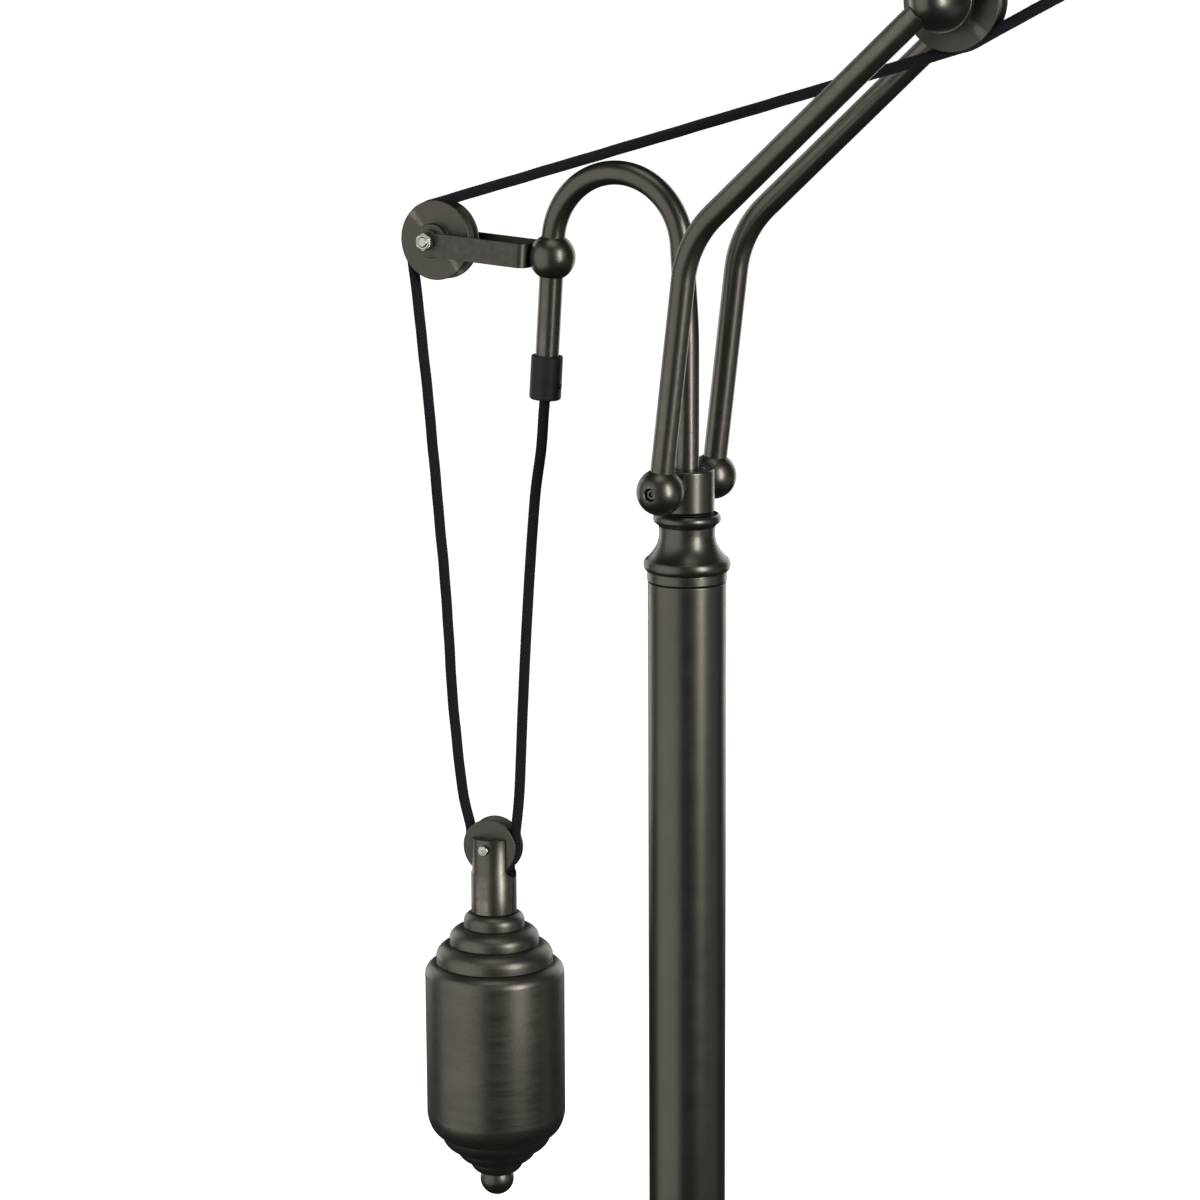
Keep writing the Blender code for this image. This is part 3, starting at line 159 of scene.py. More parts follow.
def soften(profile, round_off=0.0005, steps=3, closed=True):
    """Rounds each corner of a (radius, height, own rounding) outline, with a support edge on each side."""
    points = [Vector(p[:2]) for p in profile]
    rounds = [p[2] if len(p) > 2 else round_off for p in profile]
    count = len(points)
    made = []
    for i, (here, rounding) in enumerate(zip(points, rounds)):
        ends = not closed and i in (0, count - 1)
        if ends or here.x <= 0 or rounding <= 0:
            made.append(tuple(here))
            continue
        before, after = points[i - 1], points[(i + 1) % count]
        a, b = before - here, after - here
        if a.length < 1e-9 or b.length < 1e-9 or a.angle(b) > math.radians(172):
            made.append(tuple(here))
            continue
        half = a.angle(b) / 2
        reach = min(rounding / math.tan(half), a.length * 0.42, b.length * 0.42)
        a, b = a.normalized(), b.normalized()
        support = reach * 1.12
        centre = here + (a + b).normalized() * (reach / math.cos(half))
        start, end = here + a * reach - centre, here + b * reach - centre
        turn = math.atan2(start.x * end.y - start.y * end.x, start.dot(end))
        made.append(tuple(here + a * support))
        for k in range(steps + 1):
            angle = turn * k / steps
            made.append((centre.x + start.x * math.cos(angle) - start.y * math.sin(angle), centre.y + start.x
                    * math.sin(angle) + start.y * math.cos(angle)))
        made.append(tuple(here + b * support))
    return made


def turned(name, profile, place, material, body, nodes, sides=SIDES, round_off=0.0005, steps=3,
        start=0.0):
    """Spins a (radius, height) outline about Z. It ends on the axis, or else is a closed loop."""
    open_ended = profile[0][0] <= 0 and profile[-1][0] <= 0
    outline = soften(profile, round_off, steps, closed=not open_ended)
    bm = bmesh.new()
    rings = []
    for r, z in outline:
        if r <= 1e-9:
            rings.append([bm.verts.new((0, 0, z))])
        else:
            rings.append([bm.verts.new((r * math.cos(start + 2 * math.pi * k / sides),
                    r * math.sin(start + 2 * math.pi * k / sides), z)) for k in range(sides)])
    pairs = list(zip(rings, rings[1:]))
    if not open_ended:
        pairs.append((rings[-1], rings[0]))
    for a, b in pairs:
        for k in range(sides):
            n = (k + 1) % sides
            quad = [a[k % len(a)], a[n % len(a)], b[n % len(b)], b[k % len(b)]]
            face = [v for i, v in enumerate(quad) if v not in quad[:i]]
            if len(face) > 2:
                bm.faces.new(face)
    bmesh.ops.transform(bm, matrix=place, verts=bm.verts)
    return finish_mesh(name, bm, material, body, nodes)


def rod(name, radius, start, end, material, body, nodes, sides=SIDES_SMALL, bore=0.0, round_off=0.0004):
    """A round bar or a tube from one point to another."""
    length = (Vector(end) - Vector(start)).length
    if bore:
        profile = [(radius, length), (radius, 0.0), (bore, 0.0), (bore, length)]
    else:
        profile = [(0.0, length), (radius, length), (radius, 0.0), (0.0, 0.0)]
    return turned(name, profile, z_axis_to(Vector(end) - Vector(start), Vector(start)), material, body, nodes,
            sides, round_off=round_off)


def fillet_path(corners, radii, step=math.radians(2.5)):
    """Points of a path in the XZ plane with its corners rounded by arcs."""
    path = [corners[0]]
    for before, corner, after, radius in zip(corners, corners[1:], corners[2:], radii):
        a = (before - corner).normalized()
        b = (after - corner).normalized()
        half = a.angle(b) / 2
        reach = radius / math.tan(half)
        centre = corner + (a + b).normalized() * (radius / math.sin(half))
        start, end = corner + a * reach - centre, corner + b * reach - centre
        turn = start.rotation_difference(end)
        count = max(2, round(turn.angle / step))
        for i in range(count + 1):
            path.append(centre + Quaternion(turn.axis, turn.angle * i / count) @ start)
    return path + [corners[-1]]


def arc(centre, radius, first, last, count):
    """Points of an arc in the XZ plane, angles from +X towards +Z."""
    angles = [first + (last - first) * i / count for i in range(count + 1)]
    return [centre + radius * Vector((math.cos(a), 0.0, math.sin(a))) for a in angles]


def evened(points, spacing):
    """The same path with a point at every even step along it."""
    lengths = [0.0]
    for a, b in zip(points, points[1:]):
        lengths.append(lengths[-1] + (b - a).length)
    count = max(1, round(lengths[-1] / spacing))
    made, k = [], 0
    for i in range(count + 1):
        target = lengths[-1] * i / count
        while k < len(points) - 2 and lengths[k + 1] < target:
            k += 1
        span = lengths[k + 1] - lengths[k]
        made.append(points[k].lerp(points[k + 1], (target - lengths[k]) / span if span else 0.0))
    return made


def frames_along(path):
    """A pair of cross directions at each point of a path, carried along it without twist."""
    across = None
    made = []
    for i in range(len(path)):
        ahead = (path[min(i + 1, len(path) - 1)] - path[max(i - 1, 0)]).normalized()
        if across is None:
            across = Vector((0, 1, 0)).cross(ahead).normalized()
        across = (across - ahead * across.dot(ahead)).normalized()
        made.append((across, ahead.cross(across)))
    return made


def bent_tube(name, path, radius, material, body, nodes, bore=0.0, sides=SIDES_SMALL):
    """Sweeps a ring along a path, with a small chamfer at each end."""
    bm = bmesh.new()
    chamfer = 0.0003
    first, last = (path[1] - path[0]).normalized(), (path[-1] - path[-2]).normalized()
    points = [path[0], path[0] + first * chamfer] + path[1:-1] + [path[-1] - last * chamfer, path[-1]]
    crosses = frames_along(points)
    radii = [radius - chamfer] + [radius] * (len(points) - 2) + [radius - chamfer]
    rings = []
    for point, (a, b), r in zip(points, crosses, radii):
        rings.append([bm.verts.new(point + r * (math.cos(t) * a + math.sin(t) * b))
                for t in (2 * math.pi * k / sides for k in range(sides))])
    for low, high in zip(rings, rings[1:]):
        for k in range(sides):
            n = (k + 1) % sides
            bm.faces.new((low[k], low[n], high[n], high[k]))
    for end, inward in ((0, first), (-1, -last)):
        if not bore:
            bm.faces.new(rings[end])
            continue
        a, b = crosses[end]
        lip = [bm.verts.new(points[end] + bore * (math.cos(t) * a + math.sin(t) * b))
                for t in (2 * math.pi * k / sides for k in range(sides))]
        well = [bm.verts.new(v.co + inward * 0.012) for v in lip]
        for k in range(sides):
            n = (k + 1) % sides
            bm.faces.new((rings[end][k], rings[end][n], lip[n], lip[k]))
            bm.faces.new((lip[k], lip[n], well[n], well[k]))
        bm.faces.new(well)
    return finish_mesh(name, bm, material, body, nodes)


def bevelled(piece, width, segments, angle):
    """Rounds the sharp edges of a piece made of flat sides."""
    mod = piece.modifiers.new("edge", "BEVEL")
    mod.width = width
    mod.segments = segments
    mod.limit_method = "ANGLE"
    mod.angle_limit = math.radians(angle)
    mod.harden_normals = True


def carve(piece, cutter, operation="DIFFERENCE"):
    """Cuts, or joins, another mesh and takes the cutter away."""
    mod = piece.modifiers.new("carve", "BOOLEAN")
    mod.operation = operation
    mod.solver = "EXACT"
    mod.object = cutter
    graph = bpy.context.evaluated_depsgraph_get()
    graph.update()
    mesh = bpy.data.meshes.new_from_object(piece.evaluated_get(graph))
    piece.modifiers.remove(mod)
    piece.data = mesh
    mesh.set_sharp_from_angle(angle=math.radians(38))
    bpy.data.objects.remove(cutter, do_unlink=True)


def extruded(name, outline, thickness, place, material, body, nodes):
    """Extrudes a flat outline of (x, z) points along +Y."""
    bm = bmesh.new()
    face = bm.faces.new([bm.verts.new((point[0], 0.0, point[1])) for point in outline])
    made = bmesh.ops.extrude_face_region(bm, geom=[face])["geom"]
    bmesh.ops.translate(bm, verts=[v for v in made if isinstance(v, bmesh.types.BMVert)],
            vec=(0, thickness, 0))
    bmesh.ops.transform(bm, matrix=place, verts=bm.verts)
    return finish_mesh(name, bm, material, body, nodes)


def sphere_points(radius, first, last, count):
    """Outline points of a ball, with angles from its top."""
    angles = [first + (last - first) * i / count for i in range(count + 1)]
    return [(radius * math.sin(a), radius * math.cos(a), 0.0) for a in angles]


def curve(centre, radii, first, last, count, start=0):
    """Outline points of an elliptical arc, with angles in degrees from its first axis."""
    angles = [math.radians(first + (last - first) * i / count) for i in range(start, count + 1)]
    return [(centre[0] + radii[0] * math.cos(a), centre[1] + radii[1] * math.sin(a), 0.0) for a in angles]


def cylinder(name, radius, length, place, material=BRONZE, sides=64):
    """A plain cylinder to join or cut."""
    return turned(name, [(0, 0, 0), (radius, 0, 0), (radius, length, 0), (0, length, 0)], place, material,
            None, [], sides)


def lay_flat(drop):
    """A matrix that lays an outline in the XY plane, to be extruded upwards from below it."""
    return Matrix(((1, 0, 0, 0), (0, 0, 1, 0), (0, 1, 0, -drop), (0, 0, 0, 1)))


def swell(start, end, out_first, bulge=1.0, count=10):
    """Outline points of a bulge between two corners: it sets off sideways, or else downwards."""
    points = []
    for i in range(count + 1):
        t = i / count
        quick = (1 - bulge) * t + bulge * math.sin(math.pi / 2 * t)
        slow = (1 - bulge) * t + bulge * (1 - math.cos(math.pi / 2 * t))
        across, down = (quick, slow) if out_first else (slow, quick)
        points.append((start[0] + (end[0] - start[0]) * across, start[1] + (end[1] - start[1]) * down, 0.0))
    return points


def shell(outer, thickness, round_off=0.0006, steps=3):
    """Closes an outer outline with the same outline moved inwards by the sheet's thickness."""
    outer = [Vector(p) for p in soften(outer, round_off, steps, closed=False)]
    inner = []
    for i, here in enumerate(outer):
        runs = []
        if i:
            runs.append((here - outer[i - 1]).normalized())
        if i < len(outer) - 1:
            runs.append((outer[i + 1] - here).normalized())
        normals = [Vector((run.y, -run.x)) for run in runs]
        mid = sum(normals, Vector((0, 0))).normalized()
        inner.append(here + mid * thickness / max(0.5, mid.dot(normals[0])))
    return [(p.x, p.y, 0.0) for p in outer + inner[::-1]]


# ---------------------------------------------------------------- materials
class Finish:
    """A procedural material, with short ways to add nodes to it."""

    def __init__(self, name):
        self.material = bpy.data.materials.new(name)
        self.material.use_nodes = True
        self.tree = self.material.node_tree
        self.shader = self.tree.nodes["Principled BSDF"]

    def put(self, slot, value):
        if isinstance(value, bpy.types.NodeSocket):
            self.tree.links.new(value, slot)
        else:
            slot.default_value = value

    def surface(self, values):
        for socket, value in values.items():
            self.put(self.shader.inputs[socket], value)

    def add(self, kind, inputs, output=0, **settings):
        """Adds a node, fills its inputs with values or links, and gives back one of its outputs."""
        node = self.tree.nodes.new("ShaderNode" + kind)
        for setting, value in settings.items():
            setattr(node, setting, value)
        for socket, value in inputs.items():
            self.put(node.inputs[socket], value)
        return node.outputs[output]

    def noise(self, scale, detail, stretch=(1, 1, 1)):
        place = self.add("Mapping", {"Vector": self.add("TexCoord", {}, "Object"), "Scale": stretch})
        return self.add("TexNoise", {"Vector": place, "Scale": scale, "Detail": detail, "Roughness": 0.55},
                "Fac")

    def ramp(self, value, stops):
        colour = self.add("ValToRGB", {"Fac": value}, "Color")
        elements = colour.node.color_ramp.elements
        while len(elements) < len(stops):
            elements.new(0.5)
        for element, (at, shade) in zip(elements, stops):
            element.position = at
            element.color = (*shade, 1.0)
        return colour

    def spread(self, value, low, high, start=0.25, end=0.75):
        return self.add("MapRange", {"Value": value, "From Min": start, "From Max": end, "To Min": low,
                "To Max": high}, "Result")

    def mixed(self, factor, first, second, blend="MIX"):
        return self.add("Mix", {0: factor, 6: first, 7: second}, 2, data_type="RGBA", blend_type=blend)

    def maths(self, operation, *values):
        return self.add("Math", dict(enumerate(values)), operation=operation)

    def bumped(self, height, strength, distance):
        self.surface({"Normal": self.add("Bump", {"Height": height, "Strength": strength,
                "Distance": distance}, "Normal")})

    def worn_edges(self):
        """A mask of the raised edges, broken up by noise."""
        raised = self.spread(self.add("NewGeometry", {}, "Pointiness"), 0.0, 1.0, 0.52, 0.60)
        return self.maths("MULTIPLY", raised, self.spread(self.noise(260, 3), 0.0, 1.0))


def lacquered_bronze(name, stretch, tone=1.0, rough=(0.32, 0.39), grain=0.07, cloudy=1.0, rubbed=1.0):
    """Satin dark bronze lacquer over brushed metal, a little cloudy in tone and rubbed at its edges."""
    finish = Finish(name)
    brush = finish.noise(900, 3, stretch)
    middle = Vector((0.0755, 0.0702, 0.0580)) * tone
    base = finish.ramp(finish.noise(38, 4), [(0.30, middle * (1 - 0.09 * cloudy)), (0.52, middle),
            (0.72, middle * (1 + 0.10 * cloudy))])
    fine = finish.ramp(brush, [(0.3, (1 - 1.4 * grain,) * 3), (0.7, (1 + 1.1 * grain,) * 3)])
    coloured = finish.mixed(0.7, base, fine, "MULTIPLY")
    bare = Vector((0.18, 0.165, 0.14)) * rubbed
    finish.surface({"Base Color": finish.mixed(finish.worn_edges(), coloured, (*bare, 1.0)),
            "Roughness": finish.spread(finish.noise(90, 4, stretch), *rough), "Metallic": 0.94,
            "Specular IOR Level": 0.5, "Coat Weight": 0.12, "Coat Roughness": 0.30})
    finish.bumped(brush, grain, 0.00004)
    return finish.material


def bright_metal(name, colour, rough):
    """Plated or plain steel, with a fine grain."""
    finish = Finish(name)
    grain = finish.noise(700, 4)
    dark = [v * 0.78 for v in colour]
    finish.surface({"Base Color": finish.ramp(finish.noise(220, 3), [(0.3, dark), (0.7, colour)]),
            "Roughness": finish.spread(grain, *rough), "Metallic": 1.0})
    finish.bumped(grain, 0.15, 0.00003)
    return finish.material


def dull(name, dark, light, rough, scale, bump, distance=0.00006, metallic=0.0, shine=0.5):
    """A plain moulded, cast or felted surface: two close tones, and a fine rough skin."""
    finish = Finish(name)
    grain = finish.noise(scale, 5)
    finish.surface({"Base Color": finish.ramp(finish.noise(scale * 0.12, 4), [(0.3, dark), (0.7, light)]),
            "Roughness": finish.spread(grain, *rough), "Metallic": metallic, "Specular IOR Level": shine})
    finish.bumped(grain, bump, distance)
    return finish.material


def braided(name):
    """A braided cotton cover: two sets of strands that cross, drawn on the cord's own length and girth."""
    strands_round, strand_pitch = 8, 0.0019
    finish = Finish(name)
    split = finish.add("UVMap", {}, "UV", uv_map="cord")
    split = finish.add("SeparateXYZ", {"Vector": split}).node.outputs
    around = finish.maths("MULTIPLY", split["X"], strands_round * 2 * math.pi)
    along = finish.maths("MULTIPLY", split["Y"], 2 * math.pi / strand_pitch)
    strands = [finish.maths("SINE", finish.maths(operation, around, along)) for operation in ("ADD",
            "SUBTRACT")]
    weave = finish.maths("MULTIPLY", finish.maths("MAXIMUM", *strands), 0.5)
    fibres = finish.maths("MULTIPLY", finish.noise(2600, 3), 0.6)
    height = finish.maths("ADD", finish.maths("ADD", weave, 0.5), fibres)
    # The colour follows the braid's height: darker down in the hollows between the strands, a painted shade, with
    # a little random tone from the fibres' noise.
    tone = finish.ramp(finish.maths("MULTIPLY", height, 0.62), [(0.15, (0.0020, 0.0021, 0.0028)),
            (0.55, (0.0060, 0.0063, 0.0080)), (0.95, (0.015, 0.0155, 0.019))])
    finish.surface({"Base Color": tone, "Roughness": 0.86, "Sheen Weight": 0.03, "Sheen Roughness": 0.5,
            "Specular IOR Level": 0.09})
    finish.bumped(height, 0.7, 0.00025)
    return finish.material


MATERIALS = {BRONZE: lacquered_bronze("bronze_turned", (1, 1, 14)),
        "bronze_tube": lacquered_bronze("bronze_tube", (1, 1, 1), 0.95, grain=0.015, cloudy=0.6),
        "bronze_flat": lacquered_bronze("bronze_flat", (1, 3, 3), 0.55, (0.42, 0.48), 0.05, 0.35,
        rubbed=0.35), "bronze_plain": lacquered_bronze("bronze_plain", (1, 1, 1), 0.85, (0.46, 0.52), 0.03,
        0.5), "bronze_weight": lacquered_bronze("bronze_weight", (0.5, 0.5, 5), 1.05, (0.34, 0.48), 0.14,
        1.3), NICKEL: bright_metal("nickel_plate", (0.40, 0.385, 0.35), (0.24, 0.38)),
        STEEL: bright_metal("zinc_steel", (0.50, 0.49, 0.46), (0.28, 0.45)),
        PLASTIC: dull("moulded_black", (0.006, 0.006, 0.007), (0.012, 0.012, 0.013), (0.46, 0.62), 1500, 0.25,
        shine=0.22), "felt": dull("felt", (0.010, 0.010, 0.011), (0.030, 0.030, 0.032), (0.9, 1.0), 2200, 0.9,
        0.0004), "iron": dull("cast_iron", (0.02, 0.02, 0.02), (0.05, 0.048, 0.045), (0.7, 0.9), 700, 0.8,
        0.0004, 0.4), "white_enamel": dull("white_enamel", (0.78, 0.77, 0.73), (0.84, 0.83, 0.79),
        (0.30, 0.42), 420, 0.12), "frosted": dull("frosted_glass", (0.80, 0.79, 0.75), (0.90, 0.89, 0.85),
        (0.22, 0.34), 300, 0.08), CORD: braided("braided_cover"),}


# ---------------------------------------------------------------- the camera, at the photograph's angle
def aim_camera():
    """The view from the front right, a little above the arm's pivot."""
    azimuth, pitch, roll = math.radians(29.21), math.radians(11.35), math.radians(-0.29)
    forward = Vector((-math.sin(azimuth) * math.cos(pitch), math.cos(azimuth) * math.cos(pitch),
            -math.sin(pitch)))
    level = Vector((math.cos(azimuth), math.sin(azimuth), 0.0))
    upright = level.cross(forward)
    right = level * math.cos(roll) + upright * math.sin(roll)
    up = upright * math.cos(roll) - level * math.sin(roll)
    data = bpy.data.cameras.new("camera")
    data.sensor_width = 36.0
    data.lens = 103.08
    data.clip_start, data.clip_end = 0.05, 500.0
    camera = bpy.data.objects.new("camera", data)
    turn = Matrix((right, up, -forward)).transposed().to_4x4()
    camera.matrix_world = Matrix.Translation(HUB + Vector((0.76095, -1.44764, 0.27117))) @ turn
    bpy.context.collection.objects.link(camera)
    bpy.context.scene.camera = camera


# ---------------------------------------------------------------- the working cord
def cord_piece(name, path, nodes, spacing=0.0009, sides=20):
    """A mesh tube of the braided cord, a little uneven. Its UVs hold the turn round it and the length."""
    points = evened(path, spacing)
    crosses = frames_along(points)
    bm = bmesh.new()
    layer = bm.loops.layers.uv.new("cord")
    braid_pitch = 0.0048
    rings = []
    for i, (point, (a, b)) in enumerate(zip(points, crosses)):
        along = i * spacing
        wobble = 0.00010 * math.sin(along * 210.0) * math.sin(along * 67.0 + 1.0)
        ring = []
        for k in range(sides):
            t = 2 * math.pi * k / sides
            phase = along * 2 * math.pi / braid_pitch
            ridge = max(math.sin(5 * t + phase), math.sin(5 * t - phase))
            r = CORD_R - 0.00013 + 0.00009 * ridge + wobble * math.cos(t - 0.8)
            ring.append(bm.verts.new(point + r * (math.cos(t) * a + math.sin(t) * b)))
        rings.append(ring)
    for i, (low, high) in enumerate(zip(rings, rings[1:])):
        for k in range(sides):
            n = (k + 1) % sides
            face = bm.faces.new((low[k], low[n], high[n], high[k]))
            corners = ((k, i), (k + 1, i), (k + 1, i + 1), (k, i + 1))
            for loop, (turn, step) in zip(face.loops, corners):
                loop[layer].uv = (turn / sides, step * spacing)
    for ring in (rings[0], rings[-1]):
        bm.faces.new(ring)
    return finish_mesh(name, bm, CORD, None, nodes, sharp=70)


def smooth_route(points, spacing=0.004):
    """Points on a smooth curve (Catmull-Rom) through the route's own points."""
    padded = [2 * points[0] - points[1]] + points + [2 * points[-1] - points[-2]]
    route = []
    for p0, p1, p2, p3 in zip(padded, padded[1:], padded[2:], padded[3:]):
        steps = max(1, round((p2 - p1).length / spacing))
        for i in range(steps):
            t = i / steps
            route.append(0.5 * (2 * p1 + (p2 - p0) * t + (2 * p0 - 5 * p1 + 4 * p2 - p3) * t * t
                    + (3 * p1 - p0 - 3 * p2 + p3) * t ** 3))
    return route + [points[-1]]


def cane_points():
    """Up from the hub, over the arch and down the left leg, whose end and direction come too."""
    centre = at_hub(*CANE_ARCH)
    lean = Vector((math.sin(CANE_LEAN), 0, -math.cos(CANE_LEAN)))
    right_end = centre + CANE_ARCH_R * Vector((math.cos(CANE_LEAN), 0, math.sin(CANE_LEAN)))
    left_end = centre + CANE_ARCH_R * Vector((-math.cos(CANE_LEAN), 0, math.sin(CANE_LEAN)))
    corner = right_end + lean * (-right_end.x / lean.x)
    rise = fillet_path([at_hub(0, 0.0042 + GAP), Vector((0, 0, corner.z)), right_end], [0.30], 0.01)
    over = arc(centre, CANE_ARCH_R, CANE_LEAN, math.pi - CANE_LEAN, 60)
    down = Vector((-lean.x, 0, lean.z))
    tip = left_end + down * ((left_end.z - (HUB.z + SLEEVE_BOTTOM + 0.0060)) / -down.z)
    return rise[:-1] + over + [tip], left_end, down


CANE_PATH, CANE_LEFT, CANE_DOWN = cane_points()
WEIGHT_TURN = Matrix.Translation(WEIGHT_AXLE) @ Matrix.Rotation(WEIGHT_TWIST, 4, "Z")
GUIDE_R, ELBOW_R, WEIGHT_R = (rim - CORD_DEPTH for rim in (GUIDE_RIM_R, ELBOW_RIM_R, WEIGHT_RIM_R))


def on_left_leg(z):
    """The point of the cane's left leg at a height above the pivot."""
    return CANE_LEFT + CANE_DOWN * ((CANE_LEFT.z - (HUB.z + z)) / -CANE_DOWN.z)


def run_slope():
    """Slope of the straight run from over the guide pulley to under the elbow pulley."""
    dx, dz = ELBOW.x - GUIDE.x, ELBOW.z - GUIDE.z
    return math.atan2(dz, dx) - math.asin((GUIDE_R + ELBOW_R) / math.hypot(dx, dz))


def along_forearm(distance, drop=0.0, y=0.0):
    """A point at a distance along the forearm from the elbow axle, and below its axis."""
    c, s = math.cos(FOREARM_RISE), math.sin(FOREARM_RISE)
    return ELBOW + Vector((distance * c + drop * s, y, distance * s - drop * c))


def build_cord():
    """The working cord, from the cane's end round the weight, over the guide and under the elbow."""
    rise = Vector((0, 0, 0.0040))
    left_turn = WEIGHT_TURN @ Vector((-WEIGHT_R, 0, 0)) + rise
    right_turn = WEIGHT_TURN @ Vector((WEIGHT_R, 0, 0)) + rise
    sleeve_mouth = on_left_leg(SLEEVE_BOTTOM)
    right = [on_left_leg(SLEEVE_BOTTOM + 0.0050), sleeve_mouth, at_hub(-0.0797, 0.0280),
            at_hub(-0.0812, 0.0110), at_hub(-0.0851, -0.0147), at_hub(-0.0895, -0.0656),
            at_hub(-0.0931, -0.1171, 0.0003), at_hub(-0.0960, -0.1650, 0.0007), right_turn + rise, right_turn]
    strand = cord_piece("cord_strand_right", smooth_route(right), ["cord_from_cane"])
    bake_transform(strand)
    half = [WEIGHT_TURN @ point for point in arc(Vector(), WEIGHT_R, 0.0, -math.pi, 36)]
    loop = cord_piece("cord_round_weight", [right_turn] + half + [left_turn], ["cord_round_weight_pulley"])
    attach(loop, "counterweight")
    tangent = GUIDE + Vector((-GUIDE_R, 0, 0))
    left = [left_turn, left_turn + rise, at_hub(-0.1290, -0.1660, -0.0007), at_hub(-0.1341, -0.1217, -0.0003),
            at_hub(-0.1373, -0.0701), at_hub(-0.1417, -0.0192), at_hub(-0.1463, 0.0312),
            at_hub(-0.1506, 0.0712), at_hub(-0.1534, 0.0950), tangent]
    strand = cord_piece("cord_strand_left", smooth_route(left), [])
    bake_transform(strand)
    slope = run_slope()
    off = math.pi / 2 + slope
    over = arc(GUIDE, GUIDE_R, math.pi, off, 40)
    wrap = cord_piece("cord_over_guide_pulley", over, ["cord_over_guide"])
    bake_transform(wrap)
    meet = ELBOW + ELBOW_R * Vector((math.cos(off - math.pi), 0, math.sin(off - math.pi)))
    run = cord_piece("cord_run_to_elbow", [over[-1], meet], ["cord_upper_run"])
    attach(run, "cord_run")
    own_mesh(run)
    entry = along_forearm(BLOCK_START + 0.014, BLOCK_DROP)
    away = entry - ELBOW
    depart = math.atan2(away.z, away.x) + math.asin(ELBOW_R / away.length) - math.pi / 2
    under = arc(ELBOW, ELBOW_R, off - math.pi - math.radians(11), depart, 30)
    to_block = cord_piece("cord_under_elbow", under + [entry], ["cord_to_forearm"])
    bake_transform(to_block)


# ---------------------------------------------------------------- base and column
def build_base():
    """The felt, the spun cover, the column and its foot and collar."""
    flat = Matrix()
    felt_r = BASE_R - 0.002
    turned("felt_pad", [(0, FELT_T), (felt_r, FELT_T), (felt_r, 0), (0, 0)], flat, "felt", "base",
            ["base_felt_pad"], 128, 0.0006)
    low = FELT_T + GAP
    cover = [(ROD_HOLE, BASE_TOP, 0), (0.0340, BASE_TOP, 0.0012), (0.0375, BASE_TOP - 0.0050, 0.0016),
            (0.0750, BASE_TOP - 0.0105, 0.030), (BASE_R - 0.0140, BASE_TOP - 0.0170, 0.0015),
            (BASE_R - 0.0125, BASE_TOP - 0.0200, 0.0010), (BASE_R - 0.0040, BASE_TOP - 0.0228, 0.0040),
            (BASE_R, BASE_TOP - 0.0290, 0.0050), (BASE_R, low, 0)]
    turned("base_cover_spun", shell(cover, BASE_SHELL, steps=6), flat, BRONZE, "base", ["base_cover"], 160)
    bore = CORD_R + RUN
    turned("inlet_bush", [(0.0046, 0.0065), (0.0046, 0.0022), (0.0055, 0.0022), (0.0055, 0.0), (bore, 0.0),
            (bore, 0.0065)], z_axis_to((1, 0, 0), (-BASE_R - 0.0022 - GAP, 0, low + 0.0056)), PLASTIC, "base",
            ["cord_inlet_bush"], SIDES_SMALL)
    seat, foot_r, socket_r = BASE_TOP + GAP, 0.0300, COLUMN_R + 0.0002
    foot = [(foot_r * 0.745, seat + 0.0240, 0.0004), (foot_r * 0.78, seat + 0.0225, 0.0009),
            (foot_r * 0.745, seat + 0.0205, 0.0008), (foot_r * 0.78, seat + 0.0120, 0.0060),
            (foot_r * 0.88, seat + 0.0065, 0.0010), (foot_r, seat + 0.0040, 0.0012), (foot_r, seat),
            (ROD_HOLE, seat), (ROD_HOLE, seat + 0.0042), (socket_r, seat + 0.0042), (socket_r, seat + 0.0240)]
    turned("foot_collar", foot, flat, BRONZE, "base", ["column_foot"], SIDES)
    rod("column_tube", COLUMN_R, (0, 0, seat + 0.0045), at_hub(0, COLLAR_GROOVE - GAP), "bronze_tube", "base",
            ["column"], 96, bore=COLUMN_R - COLUMN_WALL, round_off=0.0007)
    spigot = COLUMN_R - COLUMN_WALL - GAP
    lip = -0.0144
    collar = [(ROD_HOLE, lip), (0.0150, lip, 0.0004)]
    collar += curve((0.0147, -0.0168), (0.0017, 0.0022), 60, -60, 12)
    collar += [(0.0142, -0.0199, 0.0002), (0.0137, -0.0206, 0.0005)]
    collar += [(0.0135 + 0.0058 * t ** 2.2, -0.0235 - 0.0125 * t, 0.0) for t in (i / 12 for i in range(13))]
    collar += curve((0.0189, -0.0393), (0.00215, 0.0033), 62, -75, 16)
    collar += [(0.01915, -0.0427, 0.0002), (0.01935, -0.0431, 0.0002), (0.01935, -0.0470, 0.0004),
            (0.0190, COLLAR_GROOVE, 0.0001), (spigot, COLLAR_GROOVE), (spigot, COLLAR_GROOVE - 0.012),
            (ROD_HOLE, COLLAR_GROOVE - 0.012)]
    turned("top_collar", [(p[0], HUB.z + p[1], *p[2:]) for p in collar], flat, BRONZE, "base",
            ["column_collar"], 96, steps=5)
    rod("thrust_washer", 0.01265, at_hub(0, -0.0141), at_hub(0, -0.0137), PLASTIC, "base", ["swivel_washer"],
            SIDES, bore=ROD_HOLE, round_off=0.0001)


